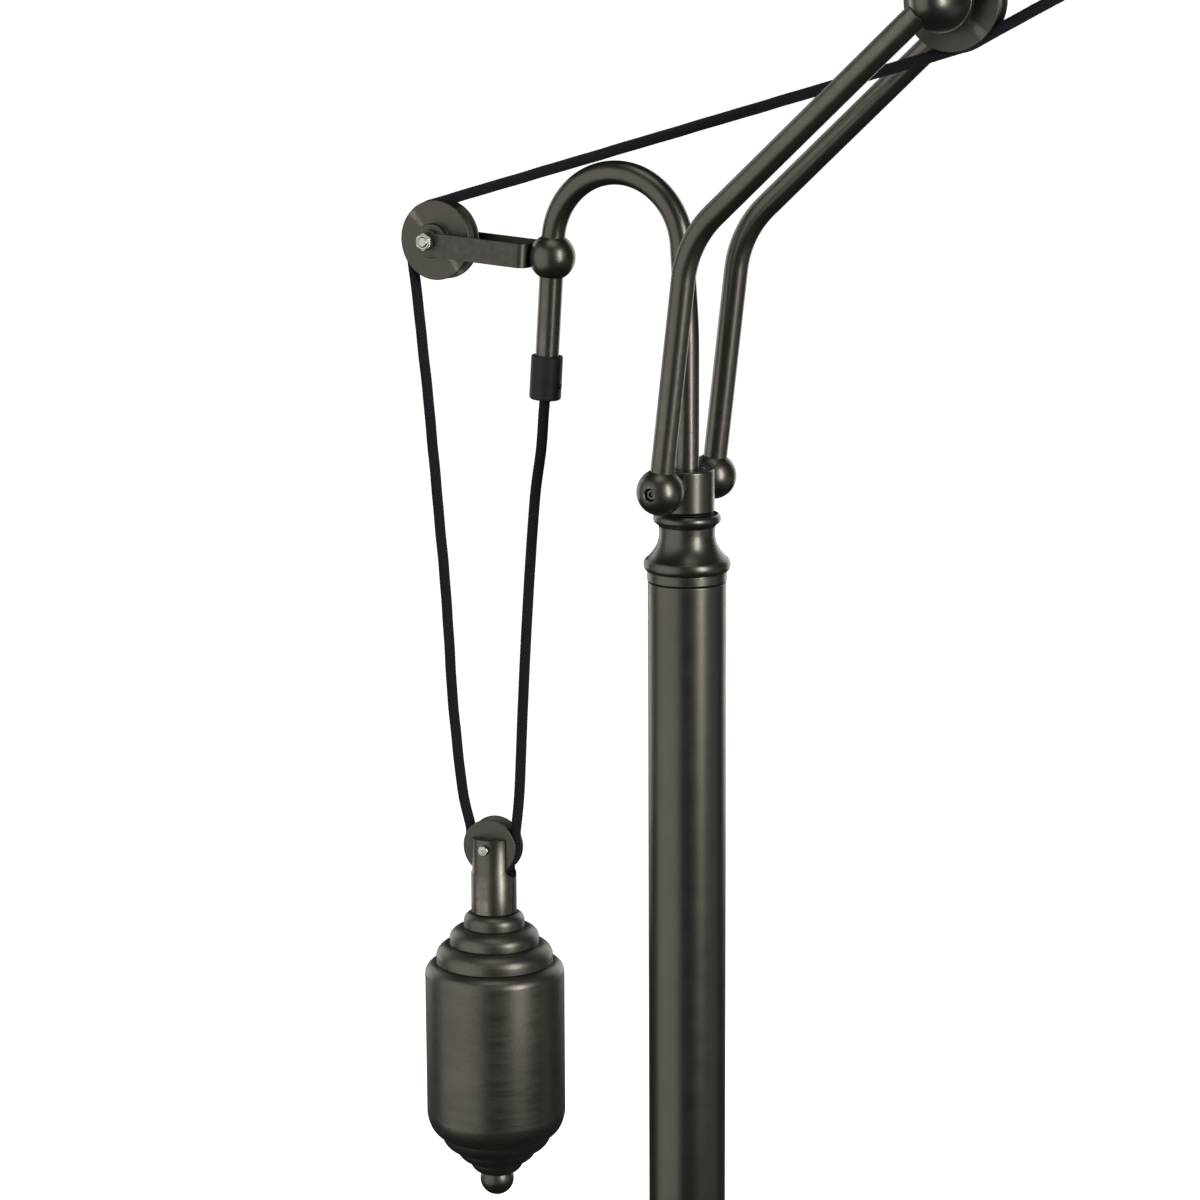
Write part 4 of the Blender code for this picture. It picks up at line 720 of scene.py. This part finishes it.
# ---------------------------------------------------------------- hub and cane
def build_hub():
    """The swivelling hub with its plug, and the screws that the arm leans on."""
    top, bottom, r, cavity_r = 0.0073, -0.0134, 0.01325, 0.0086
    turned("hub_block", [(cavity_r, top), (r, top, 0.0011), (r, bottom, 0.0009), (ROD_HOLE, bottom),
            (ROD_HOLE, -0.0104), (cavity_r, -0.0104)], Matrix.Translation(HUB), BRONZE, "hub", ["hub"], 96)
    for side, label in ((-1, "front"), (1, "rear")):
        rod(f"hub_side_boss_{label}", 0.0058, at_hub(0, 0, side * 0.0110), at_hub(0, 0, side * 0.0146),
                BRONZE, "hub", [], SIDES_SMALL, bore=PIVOT_BORE)
        rod(f"spacing_washer_{label}", 0.0050, at_hub(0, 0, side * 0.0149), at_hub(0, 0, side * 0.0160),
                NICKEL, "hub", [f"pivot_washer_{label}"], SIDES_SMALL, bore=PIVOT_BORE, round_off=0.0002)
        head_at = ARM_Y + BALL_R - 0.0022
        turned(f"pivot_screw_{label}", [(0, 0.0015), (0.0012, 0.0015), (0.0013, 0, 0.0001),
                (0.0026, 0, 0.0004), (0.0026, 0.0021), (0.0018, 0.0021), (0.0018, head_at - 0.0089),
                (0, head_at - 0.0089)], z_axis_to((0, -side, 0), at_hub(0, 0, side * head_at)), BRONZE, "hub",
                [f"arm_pivot_screw_{label}"], SIDES_SMALL)
    turned("hub_top_plug", [(TUBE_HOLE, top - 0.0002, 0.0003), (0.0083, top - 0.0002, 0.0002),
            (0.0083, 0.0032), (0.0032, 0.0032), (0.0032, 0.0042), (TUBE_HOLE, 0.0042)],
            Matrix.Translation(HUB), BRONZE, "hub", ["hub_plug"], SIDES)


def build_cane():
    """The bent cane with its ball knot and the sleeve at its end."""
    bent_tube("cane_tube_bent", CANE_PATH, TUBE_R, "bronze_tube", "hub", ["cane_tube"], bore=0.0047, sides=56)
    ball_at = on_left_leg(CANE_BALL_Z)
    across = Vector((CANE_DOWN.z, 0, -CANE_DOWN.x))
    bore = TUBE_R + 0.0001
    mouth = math.asin(bore / BALL_R)
    web = 0.0094
    ball = turned("cane_ball_knot", sphere_points(BALL_R, mouth, math.pi - mouth, 40),
            z_axis_to(-CANE_DOWN, ball_at), BRONZE, "hub", ["cane_ball"], 80)
    flat = extruded("ball_flat_cutter", [(web, -0.02), (0.03, -0.02), (0.03, 0.02), (web, 0.02)], 0.04,
            z_frame(across, ball_at) @ Matrix.Translation((0, -0.02, 0)), BRONZE, None, [])
    carve(ball, flat)
    place = z_axis_to(-CANE_DOWN, on_left_leg(SLEEVE_BOTTOM))
    tall = SLEEVE_TOP - SLEEVE_BOTTOM
    turned("cord_sleeve_moulded", [(SLEEVE_R, tall, 0.0010), (SLEEVE_R, 0.0, 0.0014), (0.0036, 0.0, 0.0006),
            (0.0036, 0.0050), (TUBE_HOLE, 0.0056), (TUBE_HOLE, tall, 0.0005)], place, PLASTIC, "hub",
            ["cord_sleeve"], SIDES, steps=5)
    screw_at = on_left_leg(SLEEVE_BOTTOM + 0.0075)
    out = Vector((-across.x, 0, -across.z))
    rod("sleeve_grub_screw", 0.0013, screw_at + out * (TUBE_R + GAP), screw_at + out * (SLEEVE_R + 0.0007),
            PLASTIC, "hub", ["sleeve_screw"], 24)
    return ball_at, across, web


def build_bracket(ball_at, across, web):
    """The bent strap from the flat on the cane ball out to both ends of the guide pulley's axle."""
    place = z_frame(across, ball_at)
    axle = place.inverted() @ GUIDE
    x_web, x_end = web + GAP, axle.x
    out, bend = STRAP_Y + STRAP_T, 0.0045
    turns = [math.radians(90 * i / 10) for i in range(1, 10)]

    def side_outline(half, corner):
        line = [(x_end, -half), (x_web + bend, -half)]
        line += [(x_web + bend - corner * math.sin(a), -half + corner - corner * math.cos(a)) for a in turns]
        return line

    outer = side_outline(out, bend) + [(x_web, -out + bend)]
    outer += [(x, -y) for x, y in outer[::-1]]
    inner_bend = bend - STRAP_T
    inner = side_outline(STRAP_Y, inner_bend) + [(x_web + STRAP_T, -STRAP_Y + inner_bend)]
    inner += [(x, -y) for x, y in inner[::-1]]
    strap = extruded("pulley_strap", outer + inner[::-1], STRAP_H, place @ lay_flat(STRAP_H / 2),
            "bronze_flat", "hub", ["pulley_bracket"])
    for side in (-1, 1):
        start = place @ Vector((x_end, side * STRAP_Y, axle.z))
        end = place @ Vector((x_end, side * out, axle.z))
        tab = cylinder("strap_tab", STRAP_H / 2, STRAP_T, z_axis_to(end - start, start), "bronze_flat")
        carve(strap, tab, "UNION")
    bevelled(strap, 0.0005, 3, 40)
    tip, head = place @ Vector((TUBE_R + 2 * GAP, 0, 0)), place @ Vector((x_web + STRAP_T + GAP, 0, 0))
    length = (head - tip).length
    turned("strap_screw", [(0, length + 0.0026), (0.0020, length + 0.0026), (0.0040, length + 0.0014),
            (0.0040, length), (0.0021, length), (0.0021, 0), (0, 0)], z_axis_to(head - tip, tip), STEEL,
            "hub", ["bracket_screw"], SIDES_SMALL)
    face = out + GAP
    turned("guide_axle", [(0, 2 * face + 0.0046), (0.0021, 2 * face + 0.0046, 0.0003),
            (0.0025, 2 * face + 0.0042, 0.0002), (0.0025, 0.0), (0.0046, 0.0, 0.0004),
            (0.0046, -0.0032, 0.0016), (0, -0.0032)], z_axis_to((0, -1, 0), GUIDE + Vector((0, face, 0))),
            NICKEL, "hub", ["guide_axle_bolt"], SIDES_SMALL)
    nut_at = GUIDE - Vector((0, face + 0.0001, 0))
    nut = turned("guide_nut", [(0.0046, 0.0, 0), (0.0046, 0.0036, 0), (0.0026, 0.0036, 0), (0.0026, 0.0, 0)],
            z_axis_to((0, -1, 0), nut_at), NICKEL, "hub", ["guide_lock_nut"], 6, start=math.pi / 6)
    bevelled(nut, 0.00035, 4, 30)
    turned("guide_nut_crown", [(0.0038, 0.0030), (0.0036, 0.0040, 0.0004), (0.0026, 0.0040, 0.0003),
            (0.0026, 0.0030)], z_axis_to((0, -1, 0), nut_at), NICKEL, "hub", [], SIDES_SMALL)


def build_pulley(name, node, rim, bore, body, place, boss=0.0):
    """A grooved wheel: a round-bottomed groove between two thin cheeks."""
    half = PULLEY_HALF
    hub_r, hub_half = (boss, STRAP_Y - GAP) if boss else (bore + 0.0025, half + 0.0004)
    bottom = rim - CORD_DEPTH - CORD_R - GAP
    side = [(rim, half - 0.0011, 0.0004), (rim, half, 0.0006), (hub_r, half, 0.0003),
            (hub_r, hub_half, 0.0007), (bore, hub_half, 0.0003)]
    groove = [(bottom + 0.0030, CORD_R + 0.0006, 0.0004), (bottom, 0.0012, 0.0010)]
    outline = side[::-1] + groove + [(r, -z, c) for r, z, c in groove[::-1]] + [(r, -z, c) for r, z,
            c in side]
    turned(name, outline, place, "bronze_plain", body, [node], 96, steps=4)


# ---------------------------------------------------------------- double arm
def build_arm():
    """The two bent arm tubes, their pivot balls, and the elbow between them."""
    knee, elbow = at_hub(*ARM_KNEE) - HUB, ELBOW - HUB
    lower, upper = knee.normalized(), (elbow - knee).normalized()
    for side, label in ((-1, "front"), (1, "rear")):
        shift = at_hub(0, 0, side * ARM_Y)
        path = fillet_path([lower * 0.0046, knee, elbow - upper * 0.0075], [ARM_BEND_R])
        bent_tube(f"arm_tube_bent_{label}", [p + shift for p in path], TUBE_R, "bronze_tube", "arm",
                [f"arm_tube_{label}"], sides=56)
        recess, flat = 0.0029, ARM_Y - 0.0163
        skin = sphere_points(BALL_R, math.asin(recess / BALL_R) + 0.04, math.acos(-flat / BALL_R), 40)
        outline = [(PIVOT_BORE, BALL_R - 0.0046, 0), (recess, BALL_R - 0.0046, 0),
                (recess, BALL_R - 0.0009, 0.0004)]
        turned(f"pivot_ball_{label}", outline + skin + [(PIVOT_BORE, -flat, 0)],
                z_axis_to((0, side, 0), shift), BRONZE, "arm", [f"arm_ball_{label}"], 80)
        build_dome(label, side)
    pin_reach = Vector((0, 0.0300, 0))
    rod("elbow_pin", 0.0030, ELBOW - pin_reach, ELBOW + pin_reach, STEEL, "arm", ["elbow_axle"])
    build_pulley("elbow_wheel", "elbow_pulley", ELBOW_RIM_R, 0.0034, "elbow_pulley",
            z_axis_to((0, 1, 0), ELBOW))


def build_dome(label, side):
    """The flanged dome over each end of the elbow's pin."""
    inner, face, flange, top = 0.0101, 0.0125, 0.0165, 0.0360
    dome_r, flange_r = 0.0135, 0.0149
    step = flange - inner
    outline = [(0, 0), (0.0070, 0, 0.0003), (0.0070, face - inner, 0.0002), (flange_r, face - inner, 0.0007),
            (flange_r, step, 0.0009)]
    arcs = [math.radians(90) * i / 28 for i in range(29)]
    outline += [((dome_r if i else dome_r + 0.0002) * math.cos(a) if i < 28 else 0.0, step + (top - flange)
            * math.sin(a), 0) for i, a in enumerate(arcs)]
    turned(f"elbow_cap_{label}", outline[::-1], z_axis_to((0, side, 0), ELBOW + Vector((0, side * inner, 0))),
            BRONZE, "arm", [f"elbow_dome_{label}"], 96, steps=4)


# ---------------------------------------------------------------- forearm
def build_forearm():
    """The fork at the elbow, both tubes and the cord block."""
    place = z_frame(FOREARM_DIR, ELBOW)
    fork_in, fork_t, half, root = 0.0063, 0.0034, 0.0065, 0.0290
    wide = fork_in + fork_t
    nose = curve((0, 0), (half, half), 90, 270, 40)
    fork = extruded("elbow_fork", nose + [(0.0400, -half), (0.0400, half)], 2 * wide,
            place @ Matrix.Translation((0, -wide, 0)), "bronze_flat", "forearm", ["forearm_fork"])
    slot_end = curve((root - fork_in, 0), (fork_in, fork_in), -90, 90, 24)
    slot = extruded("fork_slot_cutter", [(-0.02, -fork_in)] + slot_end + [(-0.02, fork_in)], 0.04,
            place @ lay_flat(0.02), "bronze_flat", None, [])
    carve(fork, slot)
    ferrule = cylinder("fork_ferrule", 0.0080, 0.0170, z_axis_to(FOREARM_DIR, along_forearm(0.0350)),
            "bronze_flat")
    carve(fork, ferrule, "UNION")
    bevelled(fork, 0.0006, 3, 40)
    bent_tube("forearm_rear_tube", [along_forearm(0.0450), along_forearm(BLOCK_START + 0.0110)], FOREARM_R,
            "bronze_tube", "forearm", ["forearm_tube_rear"], sides=56)
    front_start, tube_end = BLOCK_END - 0.0120, FOREARM_LENGTH - WRIST_CLEAR - 0.0010
    bent_tube("forearm_front_tube", [along_forearm(front_start), along_forearm(tube_end)], FOREARM_R,
            "bronze_tube", "forearm", ["forearm_tube_front"], sides=56)
    build_block()


def build_block():
    """The cord block: two rounds joined by straight sides, with a mouth for the cord."""
    top_r, low_r = 0.0098, 0.0058
    tilt = math.degrees(math.asin((top_r - low_r) / BLOCK_DROP))
    outline = curve((0, 0), (top_r, top_r), -tilt, 180 + tilt, 40)
    outline += curve((0, -BLOCK_DROP), (low_r, low_r), 180 + tilt, 360 - tilt, 28)
    side = Vector((0, -1, 0))
    turn = Matrix((side, FOREARM_DIR, side.cross(FOREARM_DIR))).transposed().to_4x4()
    block = extruded("cord_block_cast", outline, BLOCK_END - BLOCK_START,
            Matrix.Translation(along_forearm(BLOCK_START)) @ turn, "bronze_plain", "forearm", ["cord_block"])
    mouth = turned("mouth_cutter", [(0, 0, 0), (CORD_R + 0.0012, 0, 0), (CORD_R + 0.0004, 0.0035, 0),
            (0, 0.0035, 0)], z_axis_to(FOREARM_DIR, along_forearm(BLOCK_START - 0.0010, BLOCK_DROP)), BRONZE,
            None, [], 40)
    carve(block, mouth)
    bevelled(block, 0.0008, 4, 40)


# ---------------------------------------------------------------- wrist and shade
def build_wrist():
    """Two knuckles side by side, each with its stem, and the clamp knob's screw through both."""
    half, radius = 0.0095, 0.0120
    for name, node, side, direction, length, stem_r, body in (("wrist_eye_upper", "wrist_knuckle_upper", -1,
            -FOREARM_DIR, 0.0320, UPPER_STEM_R, "forearm"), ("wrist_eye_lower", "wrist_knuckle_lower", 1,
            Vector((0, 0, -1)), 0.0277, LOWER_STEM_R, "shade")):
        face = Vector((0, side * GAP, 0))
        disc = turned(name, [(0.0029, 0, 0), (radius, 0, 0.0003), (radius, half - GAP, 0.0012),
                (0.0029, half - GAP, 0.0002)], z_axis_to((0, side, 0), WRIST + face), BRONZE, body, [node],
                80)
        start = WRIST + direction * radius * 0.3
        stem = turned(name + "_stem", [(0, 0, 0), (stem_r, 0, 0), (stem_r, length - radius * 0.3, 0.0008),
                (0, length - radius * 0.3)], z_axis_to(direction, start), BRONZE, None, [], 64)
        carve(stem, cylinder(name + "_clear", WRIST_CLEAR, 0.02, z_axis_to((0, -side, 0), WRIST + face),
                sides=96))
        bore = cylinder(name + "_bore", 0.0035, 0.04, z_axis_to((0, 1, 0), WRIST - Vector((0, 0.02, 0))),
                sides=40)
        carve(disc, stem, "UNION")
        carve(disc, bore)
        bevelled(disc, 0.0005, 3, 40)
    face = half + GAP
    grip = [(0, -2 * face - 0.0020), (0.0025, -2 * face - 0.0020, 0.0004), (0.0025, 0.0),
            (0.0045, 0.0, 0.0003), (0.0050, 0.0018, 0.0010), (0.0082, 0.0024, 0.0005),
            (0.0086, 0.0034, 0.0004), (0.0086, 0.0080, 0.0006), (0.0078, 0.0088, 0.0006),
            (0.0040, 0.0080, 0.0010), (0, 0.0080)]
    knob = turned("clamp_knob", grip[::-1], z_axis_to((0, 1, 0), WRIST + Vector((0, face, 0))), BRONZE,
            "wrist_knob", ["wrist_thumb_screw"], 96)
    flute(knob, WRIST, (0, 1, 0), 24, 0.0080, 0.0005)


def flute(piece, centre, axis, count, from_r, depth):
    """Presses even grip grooves into the rim of a turned piece."""
    turn = Vector(axis).rotation_difference(Vector((0, 0, 1)))
    back = turn.inverted()
    for v in piece.data.vertices:
        local = turn @ (v.co - centre)
        r = math.hypot(local.x, local.y)
        if r > from_r:
            a = math.atan2(local.y, local.x)
            push = depth * max(0.0, math.cos(a * count)) ** 2
            local.x, local.y = local.x * (r - push) / r, local.y * (r - push) / r
            v.co = centre + back @ local


def build_shade():
    """The cap, the lampholder, the shade with its ring, the bulb and the switch key."""
    place = Matrix.Translation(WRIST)
    cap_top, cap_r, cap_bottom = -0.0280, 0.0235, -0.0840
    holder_r, holder_top, holder_low, throat = 0.0165, -0.0500, -0.1040, 0.0169
    outer = [(ROD_HOLE, cap_top, 0), (0.0105, cap_top, 0.0012), (0.0135, cap_top - 0.0020, 0.0020),
            (0.0185, cap_top - 0.0065, 0.0040), (cap_r - 0.0012, cap_top - 0.0125, 0.0040),
            (cap_r, cap_top - 0.0180, 0.0030), (cap_r, cap_bottom + 0.0050, 0.0012),
            (cap_r + 0.0030, cap_bottom + 0.0022, 0.0010), (cap_r + 0.0034, cap_bottom, 0)]
    turned("socket_cap", shell(outer, SHEET_T, steps=5), place, BRONZE, "shade", ["shade_cap"], 96)
    turned("bulb_holder", [(ROD_HOLE, holder_top), (holder_r, holder_top, 0.0030),
            (holder_r, holder_low, 0.0006), (0.0138, holder_low, 0.0004), (0.0138, -0.0760),
            (ROD_HOLE, -0.0760)], place, PLASTIC, "shade", ["lampholder"], SIDES)
    top, tall, rim, small_r, big_r = cap_bottom - GAP, 0.1000, 0.0070, 0.0300, 0.1050
    dome = [(throat, top, 0), (small_r, top, 0.0020)]
    dome += curve((small_r, top - tall), (big_r - small_r, tall), 90, 0, 40, start=2)
    dome += [(big_r + 0.0016, top - tall - 0.0020, 0.0009), (big_r + 0.0016, top - tall - rim, 0)]
    spun = turned("dome_shade", shell(dome, SHEET_T, 0.0006, 4), place, BRONZE, "shade", ["shade"], 160)
    spun.data.materials.append(MATERIALS["white_enamel"])
    axis = WRIST.xy
    for polygon in spun.data.polygons:
        outward = Vector((polygon.center.x - axis.x, polygon.center.y - axis.y, 0.0))
        facing_in = polygon.normal.dot(outward.normalized() if outward.length > 1e-6 else outward) < -0.02
        if facing_in or (polygon.normal.z < -0.9 and polygon.center.z > WRIST.z + top - 0.02):
            polygon.material_index = 1
    turned("shade_clamp_ring", [(throat, top - 0.0015), (0.0215, top - 0.0015, 0.0004),
            (0.0215, top - 0.0050, 0.0012), (throat, top - 0.0065)], place, PLASTIC, "shade", ["shade_ring"],
            SIDES)
    globe, r, neck = holder_low - 0.0420, 0.0300, 0.0130
    bulb = [(0, -0.0790), (0.0060, -0.0790, 0.0004), (neck, -0.0820, 0.0006), (neck, -0.1070, 0.0060)]
    bulb += [(r * math.sin(a) if i < 36 else 0.0, globe + r * math.cos(a), 0) for i,
            a in ((i, math.radians(38 + 142 * i / 36)) for i in range(1, 37))]
    turned("bulb_frosted", bulb, place, "frosted", "shade", ["bulb"], 80)
    knob = [(0, 0), (0.0020, 0), (0.0020, 0.0082), (0.0058, 0.0090, 0.0005), (0.0066, 0.0104, 0.0006),
            (0.0060, 0.0180, 0.0006), (0.0050, 0.0192, 0.0005), (0, 0.0192)]
    key = turned("switch_key", knob[::-1], z_axis_to((1, 0, 0), SWITCH_AT), PLASTIC, "switch",
            ["switch_knob"], 72)
    flute(key, SWITCH_AT, (1, 0, 0), 14, 0.0052, 0.0006)


# ---------------------------------------------------------------- counterweight
def build_counterweight():
    """The turned weight with its finial, and the yoke that holds its pulley."""
    place = Matrix.Translation(at_hub(WEIGHT_AXLE.x, 0))
    body = [(0, -0.2296)]
    for start, end, low in (((0.0110, -0.2296), (0.0156, -0.2340), -0.2368),
            ((0.0152, -0.2372), (0.0229, -0.2428), -0.2456), ((0.0225, -0.2460), (0.0299, -0.2522), -0.2554),
            ((0.0294, -0.2558), (0.03567, -0.2612), -0.3360)):
        body += swell(start, end, True, 0.9)
        body.append((end[0], low, 0.0))
    for start, end in (((0.03567, -0.3362), (0.0297, -0.3474)), ((0.0286, -0.3479), (0.0216, -0.3562)),
            ((0.0206, -0.3567), (0.0149, -0.3626)), ((0.0140, -0.3631), (0.0086, -0.3692))):
        body += swell(start, end, False, 0.7)
    body.append((0, -0.3692))
    turned("weight_turned", body, place, "bronze_weight", "counterweight", ["counterweight_body"], 128,
            steps=5)
    centre, r, neck = -0.3731, 0.0087, 0.0036
    tip = [(0, centre + neck)]
    tip += [(x, centre + z, 0.0) for x, z, _ in sphere_points(r, math.acos(neck / r), math.pi, 30)]
    tip[-1] = (0, centre - r)
    turned("weight_finial", tip, place, "bronze_weight", "counterweight", ["counterweight_finial"], 80)
    yoke_r = 0.0116
    low, high, step = -0.2290 + 0.1949, 0.0049, -0.0130
    yoke = turned("pulley_yoke", [(0, high, 0), (yoke_r - 0.0006, high, 0), (yoke_r - 0.0006, step, 0),
            (yoke_r, step - 0.0008, 0), (yoke_r, low, 0), (0, low, 0)], WEIGHT_TURN, BRONZE, "counterweight",
            ["weight_yoke"], 96)
    slot, floor = PULLEY_HALF + 0.0008, -(WEIGHT_RIM_R + 0.0012)
    outline = [(-slot, 0.02)] + curve((0, floor + slot), (slot, slot), 180, 360, 24) + [(slot, 0.02)]
    across = Matrix.Rotation(math.radians(90), 4, "Z")
    cutter = extruded("yoke_slot_cutter", outline, 0.06,
            WEIGHT_TURN @ across @ Matrix.Translation((0, -0.03, 0)), BRONZE, None, [])
    carve(yoke, cutter)
    bevelled(yoke, 0.0005, 3, 40)
    head = yoke_r + 0.0004
    turned("yoke_pin", [(0, 2 * head), (0.0020, 2 * head, 0.0003), (0.0020, 0), (0.0027, 0.0, 0.0001),
            (0.0027, -0.0010, 0.0005), (0.0007, -0.0014, 0.0002), (0.0004, -0.0009, 0.0001), (0, -0.0009)],
            WEIGHT_TURN @ z_axis_to((0, 1, 0), (0, -head, 0)), NICKEL, "counterweight", ["weight_pulley_pin"],
            SIDES_SMALL)
    build_pulley("weight_wheel", "weight_pulley", WEIGHT_RIM_R, 0.0024, "weight_pulley",
            WEIGHT_TURN @ z_axis_to((0, 1, 0), (0, 0, 0)))


def finish_hidden_nodes():
    """Gives the carried-over CAD pieces, which are inside the lamp, their own materials."""
    finishes = {"felt": "felt", "iron": "iron", "steel": STEEL, "nickel": NICKEL, "cord": CORD,
            "black_plastic": PLASTIC, "bronze": BRONZE}
    slots = {entry["node"]: entry["material_slot"] for entry in frame["record"]["subparts"]}
    for name, node in frame["nodes"].items():
        if node.hide_render:
            continue
        node.data.materials.clear()
        node.data.materials.append(MATERIALS[finishes.get(slots.get(name), BRONZE)])


# ---------------------------------------------------------------- floor and lights
def glow(name, colour, strength):
    finish = Finish(name)
    finish.surface({"Base Color": (*colour, 1.0), "Roughness": 0.9, "Specular IOR Level": 0.0,
            "Emission Color": (*colour, 1.0), "Emission Strength": strength})
    return finish


def floor_material():
    """White, with its glow dimmed towards the lamp, a painted shade round the base under the lamp's own soft
    shadow, and full beyond it, so that the sweep behind it stays clean.
    """
    finish = glow("pale_floor", (0.93, 0.93, 0.92), 1.0)
    reach = finish.add("VectorMath", {0: finish.add("TexCoord", {}, "Object")}, "Value", operation="LENGTH")
    # The glow grows with the distance from the lamp: dimmer near its base, a painted shade on the floor.
    painted_shade_glow = finish.spread(reach, 0.66, 1.12, 0.45, 1.75)
    painted_shade_glow.node.interpolation_type = "SMOOTHSTEP"
    finish.surface({"Emission Strength": painted_shade_glow})
    return finish.material


def staged(name, bm, material):
    mesh = bpy.data.meshes.new(name)
    bm.to_mesh(mesh)
    bm.free()
    mesh.materials.append(material)
    thing = bpy.data.objects.new(name, mesh)
    bpy.context.collection.objects.link(thing)
    thing.visible_glossy = False
    thing.visible_diffuse = False
    return thing


def build_stage():
    disc, ball = bmesh.new(), bmesh.new()
    bmesh.ops.create_circle(disc, cap_ends=True, segments=96, radius=60.0)
    bmesh.ops.create_uvsphere(ball, u_segments=64, v_segments=32, radius=59.0)
    staged("floor", disc, floor_material())
    backdrop = staged("backdrop", ball, glow("white_backdrop", (1.0, 1.0, 1.0), 1.05).material)
    backdrop.visible_shadow = False
    world = bpy.data.worlds.new("studio")
    world.use_nodes = True
    sky = world.node_tree.nodes["Background"].inputs
    sky["Color"].default_value = (1.0, 0.99, 0.97, 1.0)
    sky["Strength"].default_value = WORLD_LIGHT
    bpy.context.scene.world = world


def area_light(name, azimuth, elevation, centre, distance, size, power):
    """A soft box seen from a centre at an azimuth (as the camera's) and an elevation, in degrees."""
    a, e = math.radians(azimuth), math.radians(elevation)
    away = Vector((math.sin(a) * math.cos(e), -math.cos(a) * math.cos(e), math.sin(e)))
    data = bpy.data.lights.new(name, "AREA")
    data.shape = "RECTANGLE"
    data.size, data.size_y = size
    data.energy = power
    light = bpy.data.objects.new(name, data)
    light.rotation_mode = "QUATERNION"
    light.rotation_quaternion = away.to_track_quat("Z", "Y")
    light.location = centre + away * distance
    light.visible_camera = False
    bpy.context.collection.objects.link(light)


def panel_light(name, azimuth, distance, width, low, high, power):
    """An upright soft box round the column, between two heights."""
    middle = Vector((HUB.x, HUB.y, (low + high) / 2))
    area_light(name, azimuth, 0.0, middle, distance, (width, high - low), power)


aim_camera()
build_cord()
build_base()
build_hub()
build_bracket(*build_cane())
build_pulley("guide_wheel", "guide_pulley", GUIDE_RIM_R, 0.0029, "guide_pulley", z_axis_to((0, 1, 0), GUIDE),
        boss=0.0085)
build_arm()
build_forearm()
build_wrist()
build_shade()
build_counterweight()
finish_hidden_nodes()
build_stage()
panel_light("key_strip", CAMERA_AZIMUTH + 40, 2.2, 0.42, 0.80, 2.70, 68)
panel_light("fill_left", CAMERA_AZIMUTH - 62, 1.3, 2.0, 0.02, 2.30, 21)
panel_light("fill_right", CAMERA_AZIMUTH + 82, 1.6, 1.2, 0.02, 1.00, 1.4)
panel_light("rear_left", CAMERA_AZIMUTH - 138, 2.6, 1.6, 0.30, 2.60, 22)
panel_light("rear_right", CAMERA_AZIMUTH + 150, 2.6, 1.6, 0.30, 2.60, 22)
area_light("top_box", CAMERA_AZIMUTH - 10, 78, HUB, 2.4, (1.4, 1.4), 14)
bpy.context.scene.view_settings.view_transform = "Standard"
